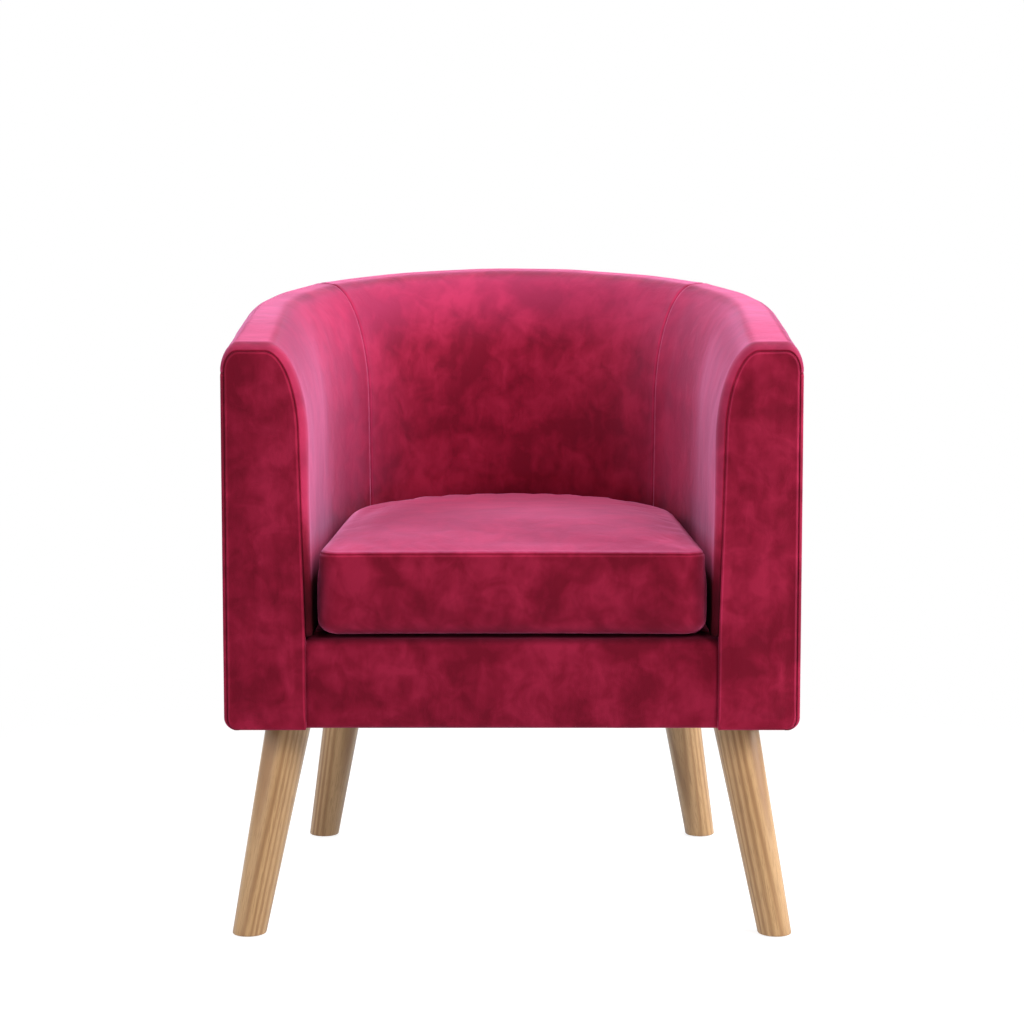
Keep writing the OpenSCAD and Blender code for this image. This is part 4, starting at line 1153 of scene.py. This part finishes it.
def cushion_rings():
    """Inset, height and share of the crown of each ring, from the underside up to the crown."""
    edge, low = CUSHION_EDGE, CUSHION_BASE + CUSHION_EDGE
    rings = [(i, CUSHION_BASE, 0.0) for i in (0.060, 0.044, 0.032, 0.025)]
    bend = np.radians([90.0, 87.0, *np.arange(84.0, 69.0, -2.0), *np.arange(68.0, -0.1, -6.0)])
    rings += [(edge * (1 - math.cos(a)), low - edge * math.sin(a), 0.0) for a in bend]
    rise = CUSHION_SEAM - low - 0.001
    beside = np.array([0.0036, 0.0047, 0.0050, 0.0053, 0.0058, 0.0072])
    below_seam = np.array([0.0062, 0.0045, 0.0031, 0.002, 0.0012])
    heights = np.concatenate([
        ZIP_MIDDLE - beside, ZIP_MIDDLE + beside, [ZIP_MIDDLE], CUSHION_SEAM - below_seam])
    plain = np.linspace(low + 0.0035, CUSHION_SEAM - 0.009, 13)
    heights = np.sort(np.concatenate([heights, plain[np.abs(plain - ZIP_MIDDLE) > 0.0095]]))
    rings += [(SEAM_INSET * ((z - low) / rise) ** 2, z, 0.0) for z in heights]
    first = len(rings)
    rings += [(SEAM_INSET, CUSHION_SEAM - 0.0005, 0.0), (SEAM_INSET + 0.0005, CUSHION_SEAM, 0.0)]
    for i in (0.0006, 0.0012, 0.002, 0.003, 0.0042, 0.0058, 0.0077, 0.010, 0.013, 0.017,
              0.022, 0.028, 0.035, 0.043, 0.052, 0.062, 0.073, 0.085, 0.098):
        share = 1.0 - (1.0 - min(1.0, i / CROWN_REACH)) ** 9
        rings.append((SEAM_INSET + 0.0005 + i, CUSHION_SEAM + 0.0006 * (1 - math.exp(-i / 0.0012)), share))
    return rings, first


def front_share(y):
    """The crown's rise, slow from the front edge."""
    return 1.0 - (1.0 - np.clip((y - FRONT - CUSHION_FRONT) / FRONT_REACH, 0.0, 1.0)) ** 2


class TUBCHAIR_OT_seat_cushion(bpy.types.Operator):
    """Make the crowned, boxed seat cushion with its seams and the opening for its zip"""

    bl_idname = "tubchair.seat_cushion"
    bl_label = "Seat cushion"

    def execute(self, context):
        look = context.scene.tub_upholstery
        rings, first_top = cushion_rings()
        grid, runs = [], []
        for inset, height, share in rings:
            xy, places, length = cushion_outline(inset)
            z = height + look.crown * share * front_share(xy[:, 1] + FRONT)
            grid.append(np.stack([xy[:, 0], xy[:, 1] + FRONT, z], -1))
            runs.append(np.append(places, length))
        grid = np.stack(grid)
        rows, cols = grid.shape[:2]
        under, under_faces = filling(grid[0][:, :2], 0.010)
        over, over_faces = filling(grid[-1][:, :2], 0.0075)
        over_z = CUSHION_SEAM + 0.0006 + look.crown * front_share(over[:, 1])
        points = np.vstack([grid.reshape(-1, 3), np.column_stack([under, np.full(len(under), CUSHION_BASE)]),
                            np.column_stack([over, over_z])])
        quads = four_corners(numbered(rows, cols, closed=True))[:, ::-1]
        n = rows * cols
        base = [f[::-1] for f in renumbered(under_faces, 0, cols, n)]
        crown = renumbered(over_faces, n - cols, cols, n + len(under))
        faces = [list(q) for q in quads] + base + crown
        down = lengths(grid, 0)
        boxing = np.stack([np.stack(runs), np.concatenate([down, down[:, :1]], axis=1)], -1)
        ring_of = np.repeat(np.arange(rows - 1), cols)
        wall = (ring_of >= LOWER_SEAM_RING + 2) & (ring_of < first_top)
        quad_uv = np.where(wall[:, None, None], four_corners(boxing)[:, ::-1], points[quads][..., :2])
        corner_uv = np.vstack([quad_uv.reshape(-1, 2), points[np.concatenate(base + crown)][:, :2]])
        above = np.ones(len(points), bool)
        above[:first_top * cols] = above[n:n + len(under)] = False
        points, shade = swollen_cushion(points, faces, grid, first_top, above, look)
        # Painted light: the top brighter towards the back, and the boxing darker than the top.
        painted_rear_light = 1.0 + 0.36 * smooth(FRONT + 0.10, FRONT + 0.36, points[:, 1])
        nap = np.where(above, PILE_AND_LIGHT_SEAT * painted_rear_light, PILE_AND_LIGHT_FRONT) * shade
        obj = skin("seat_cushion", points, faces, corner_uv, nap)
        dress(obj, make_materials()["velvet"], "velvet", "seat_cushion", "cushion_cover", "cushion_foam")
        return {"FINISHED"}


def swollen_cushion(points, faces, grid, first_top, above, look):
    """Blows the cushion up between its seams, then draws the seams and the zip's opening in, and gives the
    painted shade and highlights beside the seams.
    """
    normals = point_normals(points, faces)
    top_seam, low_seam = grid[first_top], grid[LOWER_SEAM_RING]
    zip_line = round_back(CUSHION_R, np.linspace(-ZIP_HALF_ANGLE - 2, ZIP_HALF_ANGLE + 2, 60), ZIP_MIDDLE)
    seams = np.vstack([top_seam, low_seam, zip_line, zip_line + (0, 0, 0.008), zip_line - (0, 0, 0.008)])
    free = 1.0 - held_by(seams, 0.002, 0.030)(points)
    flat = smooth(CUSHION_BASE + 0.002, CUSHION_BASE + 0.012, points[:, 2])
    small = points - normals * (look.give * free * flat * np.where(above, 1.0, 0.25))[:, None]
    start, move = swell(small, faces, held_by(seams, 0.004, 0.018), look.pressure, voxel=0.006)
    moved = carried(start, move, small, look.give * 1.35)
    if move is None:
        moved = points - small
    moved *= flat[:, None]
    settled = held_by(top_seam, 0.0, 0.050)(points) * above
    moved += (points - small - moved) * settled[:, None]
    wave = look.softness * (noise_field(points, 0.11, 61) * 1.5 + 0.7 * noise_field(points, 0.045, 63))
    points = small + moved + normals * (wave * free * flat)[:, None]
    points[:, 2] = np.maximum(points[:, 2], CUSHION_BASE)
    hollow, shade = np.zeros(len(points)), np.ones(len(points))
    for line, depth, seed in ((top_seam, 1.0, 71), (low_seam, 0.6, 73)):
        tree = tree_of(line)
        found = [tree.find(q) for q in points.tolist()]
        away = np.array([f[2] for f in found])
        along = np.array([f[1] for f in found]) * OUTLINE_STEP
        hollow += depth * (seam_hollow(away, look) + pucker_field(along, away, look, seed, reach=0.010))
        # Painted shade in each seam with a painted highlight on its ridge, and painted shade on the top just
        # above the top seam.
        shade *= seam_shade(away, 0.5)
        if line is top_seam:
            shade *= np.where(above, 0.58 + 0.42 * smooth(0.001, 0.008, away), 1.0)
    turn = np.abs(np.degrees(np.arctan2(points[:, 0], points[:, 1] - FRONT - CUSHION_Y)))
    past_end = np.radians(turn - ZIP_HALF_ANGLE - 0.5) * CUSHION_R
    beside = np.abs(points[:, 2] - ZIP_MIDDLE)
    slot = (1 - smooth(-0.0006, 0.0006, past_end)) * (1 - smooth(0.0046, 0.0054, beside))
    hollow -= 0.0046 * slot * (turn < 60) * (points[:, 1] > FRONT + CUSHION_Y)
    return points + normals * hollow[:, None], shade


def point_normals(points, faces):
    """Normals at the points of a skin, from the faces round them."""
    mesh = mesh_of("draft", points, faces)
    normals = vectors(mesh.vertex_normals, "vector")
    bpy.data.meshes.remove(mesh)
    return normals


# ---- rows of small parts ----


def row_tree(name, unit):
    """A node tree that sets one small part at equal steps along a path.

    The unit is a bar, a thread or a link; its length follows the path and its height stays upright."""
    tree = bpy.data.node_groups.new(name, "GeometryNodeTree")
    for socket, kind in (
            ("Geometry", "Geometry"), ("Step", "Float"), ("Size", "Vector"), ("Finish", "Material")):
        tree.interface.new_socket(socket, in_out="INPUT", socket_type="NodeSocket" + kind)
    tree.interface.new_socket("Geometry", in_out="OUTPUT", socket_type="NodeSocketGeometry")
    t = Tree(tree)
    given = t.add("NodeGroupInput").outputs
    curve = t.add("GeometryNodeMeshToCurve", {0: given["Geometry"]}).outputs[0]
    spots = t.add("GeometryNodeCurveToPoints", {"Curve": curve, "Length": given["Step"]}, mode="LENGTH").outputs
    along = t.add("FunctionNodeAlignRotationToVector", {"Vector": spots["Tangent"]}, axis="X").outputs[0]
    upright = t.add("FunctionNodeAlignRotationToVector", {
        "Rotation": along, "Vector": (0.0, 0.0, 1.0)}, axis="Z", pivot_axis="X").outputs[0]
    if unit == "bar":
        part = t.add("GeometryNodeMeshCube", {"Size": (1.0, 1.0, 1.0)}).outputs["Mesh"]
    elif unit == "thread":
        part = t.add("GeometryNodeMeshIcoSphere", {"Radius": 0.5, "Subdivisions": 2}).outputs["Mesh"]
    else:
        hoop = t.add("GeometryNodeCurvePrimitiveCircle", {"Resolution": 14, "Radius": 0.40}).outputs["Curve"]
        wire = t.add("GeometryNodeCurvePrimitiveCircle", {"Resolution": 6, "Radius": 0.10}).outputs["Curve"]
        hoop = t.add("GeometryNodeCurveToMesh", {"Curve": hoop, "Profile Curve": wire}).outputs["Mesh"]
        part = t.add("GeometryNodeTransform", {
            "Geometry": hoop, "Rotation": (0.0, math.radians(90.0), 0.0), "Scale": (5.0, 1.0, 1.0)}).outputs[0]
    placed = t.add("GeometryNodeInstanceOnPoints", {
        "Points": spots["Points"], "Instance": part, "Rotation": upright, "Scale": given["Size"]}).outputs[0]
    real = t.add("GeometryNodeRealizeInstances", {0: placed}).outputs[0]
    done = t.add("GeometryNodeSetMaterial", {"Geometry": real, "Material": given["Finish"]}).outputs[0]
    t.add("NodeGroupOutput", {0: done})
    return tree


def row_along(name, paths, unit, step, size, material):
    """Small parts along one or more open paths, made by a node tree and turned into a plain mesh."""
    mesh = bpy.data.meshes.new(name + "_path")
    points, edges = [], []
    for path in paths:
        edges += [(len(points) + i, len(points) + i + 1) for i in range(len(path) - 1)]
        points += np.asarray(path).tolist()
    mesh.from_pydata(points, edges, [])
    carrier = linked(name + "_path", mesh)
    nodes = carrier.modifiers.new("Row", "NODES")
    nodes.node_group = row_tree(name, unit)
    values = {"Step": step, "Size": size, "Finish": material}
    for item in nodes.node_group.interface.items_tree:
        if item.in_out == "INPUT" and item.name in values:
            nodes[item.identifier] = values[item.name]
    graph = bpy.context.evaluated_depsgraph_get()
    made = bpy.data.meshes.new_from_object(carrier.evaluated_get(graph))
    bpy.data.objects.remove(carrier)
    made.name = name
    if len(made.polygons) < len(paths):
        raise RuntimeError(f"{name}: the row is empty")
    if unit != "bar":
        made.shade_smooth()
    return linked(name, made)


# ---- zip of the cushion ----


def round_back(r, degrees, z):
    """Points on an arc about the middle of the cushion's round back."""
    a, z = np.broadcast_arrays(np.radians(90.0 + np.asarray(degrees, float)), z)
    return np.stack([r * np.cos(a), FRONT + CUSHION_Y + r * np.sin(a), z], -1)


class TUBCHAIR_OT_cushion_zip(bpy.types.Operator):
    """Make the zip at the back of the cushion: tape, coil, slider and the stitches beside it"""

    bl_idname = "tubchair.cushion_zip"
    bl_label = "Cushion zip"

    def execute(self, context):
        look, finishes = context.scene.tub_upholstery, make_materials()
        turn = np.linspace(-ZIP_HALF_ANGLE - 1.3, ZIP_HALF_ANGLE + 1.3, 90)
        high = np.linspace(-0.5, 0.5, 15) * (TAPE_HIGH - 0.0006)
        grid = np.stack([round_back(TAPE_R + TAPE_THICK, a, ZIP_MIDDLE + high) for a in turn])
        outward = grid - np.array([0.0, FRONT + CUSHION_Y, 0.0])
        outward[..., 2] = 0.0
        tape = thicken(grid_object("zip_tape", grid, outward), 0.0009)
        dress(tape, finishes["zip_tape"], "zip_tape", "seat_cushion", "cushion_zip")
        turn = np.linspace(-ZIP_HALF_ANGLE + 0.6, ZIP_HALF_ANGLE - 0.6, 200)
        middle = CHAIN_R + 0.5 * CHAIN_THICK
        coil = row_along("zip_coil", [round_back(middle, turn, ZIP_MIDDLE)], "link", 0.00135,
                         (0.0020, CHAIN_THICK * 0.95, CHAIN_HIGH * 0.93), finishes["zip_coil"])
        dress(coil, finishes["zip_coil"], "zip_tape", "seat_cushion")
        turn = np.linspace(-ZIP_HALF_ANGLE, ZIP_HALF_ANGLE, 160)
        just_outside = CUSHION_R - SEAM_INSET * 0.25 + 0.0001
        rows = [round_back(just_outside, turn, ZIP_MIDDLE + side * ZIP_STITCH_LINE) for side in (-1.0, 1.0)]
        stitches = row_along("zip_stitches", rows, "thread", look.stitch,
                             (look.stitch * 0.80, 0.0005, 0.0007), finishes["thread"])
        dress(stitches, finishes["thread"], "velvet", "seat_cushion")
        slider = zip_slider()
        dress(slider, finishes["zip_metal"], "zip_metal", "zip_slider", "zip_slider")
        return {"FINISHED"}


def zip_slider():
    """A low slider without a pull: a waisted plate with two side walls and a small bridge."""
    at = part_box("zip_slider")
    middle = 0.5 * (at[0] + at[1])
    turn = math.degrees(math.atan2(middle.y - FRONT - CUSHION_Y, middle.x)) - 90.0
    half, top = 0.0061, CHAIN_R + CHAIN_THICK + 0.0003
    waist = [(-1.0, 0.62), (-0.86, 0.86), (-0.55, 1.0), (-0.1, 0.90), (0.35, 0.90), (0.75, 1.0), (1.0, 0.78)]
    waist = [(a * half, b * 0.0044) for a, b in waist]
    plate = waist + [(a, -b) for a, b in reversed(waist)]
    work = bmesh.new()

    def block(outline, r0, r1):
        rims = [[work.verts.new(round_back(r, turn + math.degrees(x / CHAIN_R), ZIP_MIDDLE + z).tolist())
                 for x, z in outline] for r in (r0, r1)]
        n = len(outline)
        work.faces.new(rims[0][::-1])
        work.faces.new(rims[1])
        for i in range(n):
            work.faces.new((rims[0][i], rims[0][(i + 1) % n], rims[1][(i + 1) % n], rims[1][i]))

    block(plate, top, top + 0.0011)
    for side in (-1.0, 1.0):
        wall = [(a * half * 0.94, side * 0.0034) for a in np.linspace(-1, 1, 7)]
        wall += [(a * half * 0.94, side * 0.0042) for a in np.linspace(1, -1, 7)]
        block(wall, CHAIN_R + 0.0004, top + 0.0004)
    bridge = [(-0.0030, -0.0009), (0.0030, -0.0009), (0.0034, 0.0),
              (0.0030, 0.0009), (-0.0030, 0.0009), (-0.0034, 0.0)]
    block(bridge, top + 0.0009, top + 0.0017)
    bmesh.ops.recalc_face_normals(work, faces=work.faces)
    mesh = bpy.data.meshes.new("zip_slider_body")
    work.to_mesh(mesh)
    work.free()
    obj = linked("zip_slider_body", mesh)
    edge = obj.modifiers.new("Edges", "BEVEL")
    edge.width, edge.segments, edge.limit_method = 0.00018, 2, "ANGLE"
    return obj


# ---- seat deck, felt and dust cover ----


def tub_loop(front, u, spacing=0.010, count=None):
    """Flat loop round everything inside the tub at u, from a front line to the back."""
    points, normals = plan(np.linspace(0.0, 180.0, 181))
    arc = points - u * normals
    corner = [(HALF_WIDTH - u, front)]
    return even_loop(np.vstack([corner, arc, [(u - HALF_WIDTH, front)], corner]), spacing, count)


def tub_slab(name, front, u, levels, spacing, wave, seed):
    """A closed pad over the tub's plan, from its rim's insets and heights, bottom to top."""
    count = len(tub_loop(front, u, spacing))
    rims = [tub_loop(front + e, u + e, count=count) for e, _ in levels]
    rows = [np.column_stack([rim, np.full(count, z)]) for rim, (_, z) in zip(rims, levels)]
    under, under_faces = filling(rims[0], spacing)
    over, over_faces = filling(rims[-1], spacing)
    points = np.vstack(rows + [np.column_stack([under, np.full(len(under), levels[0][1])]),
                               np.column_stack([over, np.full(len(over), levels[-1][1])])])
    points[:, 1] += FRONT
    n = len(rows) * count
    faces = [list(q)[::-1] for q in four_corners(numbered(len(rows), count, closed=True))]
    faces += [f[::-1] for f in renumbered(under_faces, 0, count, n)]
    faces += renumbered(over_faces, n - count, count, n + len(under))
    inward = np.sign(0.5 * (levels[0][1] + levels[-1][1]) - points[:, 2])
    points[:, 2] += wave * inward * (0.5 + 0.5 * noise_field(points, 0.06, seed))
    return skin(name, points, faces, np.vstack([points[f][:, :2] for f in faces]))


class TUBCHAIR_OT_seat_deck(bpy.types.Operator):
    """Make the padded seat deck, the felt on the springs and the dust cover with its staples"""

    bl_idname = "tubchair.seat_deck"
    bl_label = "Seat deck"

    def execute(self, context):
        look, finishes = context.scene.tub_upholstery, make_materials()
        low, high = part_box("deck_foam")[0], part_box("deck_cloth")[1]
        u = HALF_WIDTH - high.x + 0.0002
        levels = [(0.010, low.z), (0.003, low.z), (0.0008, low.z + 0.0009), (0.0, low.z + 0.004),
                  (0.0, high.z - 0.007), (0.0009, high.z - 0.0035), (0.0030, high.z - 0.0012),
                  (0.0070, high.z - 0.0001)]
        deck = tub_slab("seat_deck", DECK_FRONT, u, levels, 0.010, 0.0006, 81)
        dress(deck, finishes["velvet"], "velvet", "chair_frame", "deck_cloth", "deck_foam")
        low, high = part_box("spring_felt")
        levels = [(0.0, low.z), (0.0, high.z - 0.0010), (0.0008, high.z)]
        felt = tub_slab("spring_felt_mat", DECK_FRONT, u, levels, 0.012, 0.0007, 83)
        dress(felt, finishes["felt"], "felt", "chair_frame", "spring_felt")
        cover, staples = dust_cover(look, finishes)
        dress(cover, finishes["dust_cloth"], "dust_cloth", "chair_frame", "dust_cover")
        dress(staples, finishes["zinc_steel"], "zinc_steel", "chair_frame")
        return {"FINISHED"}


def dust_cover(look, finishes):
    """The thin cloth under the seat, cut out round the legs and stapled along its rim."""
    low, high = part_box("dust_cover")
    inset = HALF_WIDTH - high.x + 0.0002
    front = low.y - FRONT + 0.0002
    loop = tub_loop(front, inset, 0.008)
    legs = [np.array([side * x, y]) for x, y in LEG_TOPS.values() for side in (-1.0, 1.0)]
    more, faces = filling(loop, 0.008, [(leg, LEG_TOP_R + 0.0022) for leg in legs])
    flat = np.vstack([loop, more])
    away = nearest(loop, flat)
    around = np.min([np.abs(np.linalg.norm(flat - leg, axis=1) - LEG_TOP_R) for leg in legs], 0)
    slack = smooth(0.0, 0.11, np.minimum(away, around + 0.012))
    points = np.column_stack([flat[:, 0], flat[:, 1] + FRONT, np.full(len(flat), high.z)])
    pull = 0.5 + 0.5 * np.cos(2 * math.pi * lengths(flat[None], 1)[0] / look.staple_gap)
    edge = np.exp(-away / 0.012) * smooth(0.0, 0.002, away)
    wave = 0.0006 * (0.5 + 0.5 * noise_field(points, 0.05, 91))
    points[:, 2] -= 0.0026 * slack + wave * slack + 0.0003 * pull * edge
    faces = [f[::-1] for f in faces]
    corner_uv = np.vstack([points[f][:, :2] for f in faces])
    obj = thicken(skin("dust_cloth_panel", points, faces, corner_uv), 0.0006, 1.0)
    line = tub_loop(front + 0.005, inset + 0.005, 0.004)
    line = np.vstack([line, line[:1]])
    clear = np.min([np.linalg.norm(line - leg, axis=1) for leg in legs], 0) > LEG_TOP_R + 0.010
    paths, path = [], []
    for spot, free in zip(line.tolist(), clear.tolist()):
        if free:
            path.append((spot[0], spot[1] + FRONT, high.z - 0.0009))
        elif path:
            paths.append(path)
            path = []
    paths.append(path)
    paths = [q for q in paths if len(q) > 12]
    return obj, row_along("dust_cover_staples", paths, "bar", look.staple_gap, (0.0105, 0.0011, 0.0005),
                          finishes["zinc_steel"])


# ---- legs ----


class TUBCHAIR_OT_legs(bpy.types.Operator):
    """Make the tapered, splayed oak legs"""

    bl_idname = "tubchair.legs"
    bl_label = "Legs"

    def execute(self, context):
        oak = make_materials()["oak"]
        look = context.scene.tub_oak
        for k, end in enumerate(("front", "rear")):
            for side, sign in (("right", 1.0), ("left", -1.0)):
                foot = Vector((sign * LEG_FEET[end][0], LEG_FEET[end][1] + FRONT, 0.0))
                top = Vector((sign * LEG_TOPS[end][0], LEG_TOPS[end][1] + FRONT, UNDERSIDE))
                obj = tapered_leg(f"{side}_{end}_oak_leg", foot, top, look.sides, 11.0 * k + 5.0 * sign)
                dress(obj, oak, "oak", "chair_frame", f"{side}_{end}_leg")
        return {"FINISHED"}


def tapered_leg(name, foot, top, sides, seed):
    """A splayed leg cut level at both ends, with an eased lower edge."""
    axis = (top - foot).normalized()
    lean = Vector((axis.x, axis.y, 0.0)).normalized()
    cross = Vector((-lean.y, lean.x, 0.0))
    stretch = 1.0 / axis.z
    levels = [(GLIDE + z, ease) for z, ease in (
        (0.0, -0.0016), (0.0003, -0.0008), (0.0009, -0.0002), (0.0020, 0.0))]
    levels += [(z, 0.0) for z in np.linspace(0.008, UNDERSIDE + 0.0029, 40)]
    verts, grain = [], []
    for z, ease in levels:
        t = z / UNDERSIDE
        r = LEG_FOOT_R + (LEG_TOP_R - LEG_FOOT_R) * t + ease
        centre = foot + (top - foot) * t
        for j in range(sides):
            a = 2 * math.pi * j / sides
            p = centre + lean * (math.cos(a) * r * stretch) + cross * (math.sin(a) * r)
            verts.append(p)
            grain.append((math.cos(a) * r + seed, math.sin(a) * r - seed, t * (top - foot).length + seed))
    faces = [(i * sides + j, i * sides + (j + 1) % sides,
              (i + 1) * sides + (j + 1) % sides, (i + 1) * sides + j)
             for i in range(len(levels) - 1) for j in range(sides)]
    faces.append(tuple(reversed(range(sides))))
    faces.append(tuple(range((len(levels) - 1) * sides, len(levels) * sides)))
    mesh = mesh_of(name, verts, faces)
    layer = mesh.attributes.new("grain", "FLOAT_VECTOR", "POINT")
    layer.data.foreach_set("vector", np.array(grain, np.float32).ravel())
    work = bmesh.new()
    work.from_mesh(mesh)
    bmesh.ops.recalc_face_normals(work, faces=work.faces)
    work.to_mesh(mesh)
    work.free()
    mesh.shade_smooth()
    for f in mesh.polygons:
        if len(f.vertices) > 4:
            f.use_smooth = False
    return linked(name, mesh)


# ---- frame, springs and hardware ----


class TUBCHAIR_OT_frame_finishes(bpy.types.Operator):
    """Finish the timber, boards, springs and hardware of the frame"""

    bl_idname = "tubchair.frame_finishes"
    bl_label = "Frame finishes"

    def execute(self, context):
        finishes = make_materials()
        slots = {s["node"]: s["material_slot"] for s in frame["record"]["subparts"]}
        for node, obj in frame["nodes"].items():
            if not obj.hide_render:
                obj.data.materials.clear()
                obj.data.materials.append(finishes[slots[node]])
        return {"FINISHED"}


# ---- stage ----


class TUBCHAIR_OT_stage(bpy.types.Operator):
    """Set up the camera, lamps, floor and background"""

    bl_idname = "tubchair.stage"
    bl_label = "Stage"

    def execute(self, context):
        scene, look = context.scene, context.scene.tub_stage
        data = bpy.data.cameras.new("camera")
        data.lens, data.sensor_width, data.clip_end = look.lens, 36.0, 50.0
        scene.camera = linked("camera", data)
        scene.camera.location = (0.0, FRONT - look.distance, look.height)
        scene.camera.rotation_euler = (math.radians(90.0) - look.pitch, 0.0, 0.0)
        for name, place, size in (
                ("key", (1.9, -2.3, 2.5), 1.5), ("side", (2.5, -0.4, 1.3), 1.4),
                ("fill", (-2.2, -2.0, 1.6), 1.8), ("far_side", (-2.5, -0.4, 1.3), 1.4),
                ("overhead", (0.2, 0.1, 2.9), 1.6), ("rim", (0.0, 1.6, 2.3), 1.6)):
            lamp(name, Vector(place), size, getattr(look, name))
        lay_floor()
        light_room(scene, look)
        scene.view_settings.view_transform = "Standard"
        return {"FINISHED"}


def lamp(name, place, size, power):
    """A round lamp aimed at the seat."""
    data = bpy.data.lights.new(name, "AREA")
    data.shape, data.size, data.energy = "DISK", size, power
    obj = linked(name, data)
    obj.location = place
    obj.rotation_euler = (Vector((0.0, 0.0, 0.42)) - place).to_track_quat("-Z", "Y").to_euler()


def seen_by_camera(t):
    """1 for camera, mirror and glass rays, 0 for the rest."""
    path = t.add("ShaderNodeLightPath").outputs
    seen = t.math("MAXIMUM", path["Is Camera Ray"], path["Is Glossy Ray"])
    return t.math("MAXIMUM", seen, path["Is Transmission Ray"])


def empty_tree(owner):
    """The emptied node tree of a material or a world."""
    owner.use_nodes = True
    t = Tree(owner.node_tree)
    t.nodes.clear()
    return t


def lay_floor(reach=14.0):
    """A floor that shows soft shadows under the chair and fades to plain white round it."""
    corners = [(-reach, -reach, 0), (reach, -reach, 0), (reach, reach, 0), (-reach, reach, 0)]
    floor = linked("floor", mesh_of("floor", corners, [(0, 1, 2, 3)]))
    material = bpy.data.materials.new("floor")
    t = empty_tree(material)
    away = t.vector("LENGTH", {0: t.place()}, "Value")
    far = t.stretch(away, 0.45, 1.30, interpolation_type="SMOOTHSTEP")
    lit = t.shader("BsdfDiffuse", (0.36, 0.36, 0.36))
    glow = t.shader("Emission", (1.0, 1.0, 1.0), Strength=0.87)
    near = t.add("ShaderNodeAddShader", {0: lit, 1: glow}).outputs[0]
    white = t.shader("Emission", (1.0, 1.0, 1.0), Strength=1.0)
    shown = t.add("ShaderNodeMixShader", {0: far, 1: near, 2: white}).outputs[0]
    plain = t.shader("BsdfDiffuse", (0.80, 0.79, 0.79))
    mix = t.add("ShaderNodeMixShader", {0: seen_by_camera(t), 1: plain, 2: shown}).outputs[0]
    t.add("ShaderNodeOutputMaterial", {"Surface": mix})
    floor.data.materials.append(material)


def light_room(scene, look):
    """A faint light from all round, and a white background."""
    scene.world = bpy.data.worlds.new("room")
    t = empty_tree(scene.world)
    room = t.shader("Background", (1.0, 0.99, 0.98), Strength=look.room)
    white = t.shader("Background", (1.0, 1.0, 1.0), Strength=1.0)
    mix = t.add("ShaderNodeMixShader", {0: seen_by_camera(t), 1: room, 2: white}).outputs[0]
    t.add("ShaderNodeOutputWorld", {"Surface": mix})


class TUBCHAIR_PT_panel(bpy.types.Panel):
    """Sizes, colours and pieces of the tub armchair"""

    bl_label = "Tub Chair"
    bl_idname = "TUBCHAIR_PT_panel"
    bl_space_type = "VIEW_3D"
    bl_region_type = "UI"
    bl_category = "Tub Chair"

    def draw(self, context):
        for group in SETTINGS:
            box = self.layout.box()
            box.label(text=group.split("_")[1].capitalize())
            settings = getattr(context.scene, group)
            for name in settings.__annotations__:
                box.prop(settings, name)
        for op in OPERATORS:
            self.layout.operator(op.bl_idname)


SETTINGS = {
    "tub_upholstery": UpholsterySettings,
    "tub_velvet": VelvetSettings,
    "tub_oak": OakSettings,
    "tub_stage": StageSettings,
}
OPERATORS = [
    TUBCHAIR_OT_wall_covers, TUBCHAIR_OT_arm_facings, TUBCHAIR_OT_front_border,
    TUBCHAIR_OT_seat_cushion, TUBCHAIR_OT_cushion_zip, TUBCHAIR_OT_seat_deck,
    TUBCHAIR_OT_legs, TUBCHAIR_OT_frame_finishes, TUBCHAIR_OT_stage,
]


def register():
    """Registers the settings, the operators and the panel."""
    for cls in [*SETTINGS.values(), *OPERATORS, TUBCHAIR_PT_panel]:
        bpy.utils.register_class(cls)
    for name, cls in SETTINGS.items():
        setattr(bpy.types.Scene, name, PointerProperty(type=cls))


def unregister():
    """Takes them out again."""
    for name in SETTINGS:
        delattr(bpy.types.Scene, name)
    for cls in reversed([*SETTINGS.values(), *OPERATORS, TUBCHAIR_PT_panel]):
        bpy.utils.unregister_class(cls)


def main():
    """Builds the whole chair."""
    register()
    for op in OPERATORS:
        group, name = op.bl_idname.split(".")
        getattr(getattr(bpy.ops, group), name)()


if __name__ == "__main__":
    main()
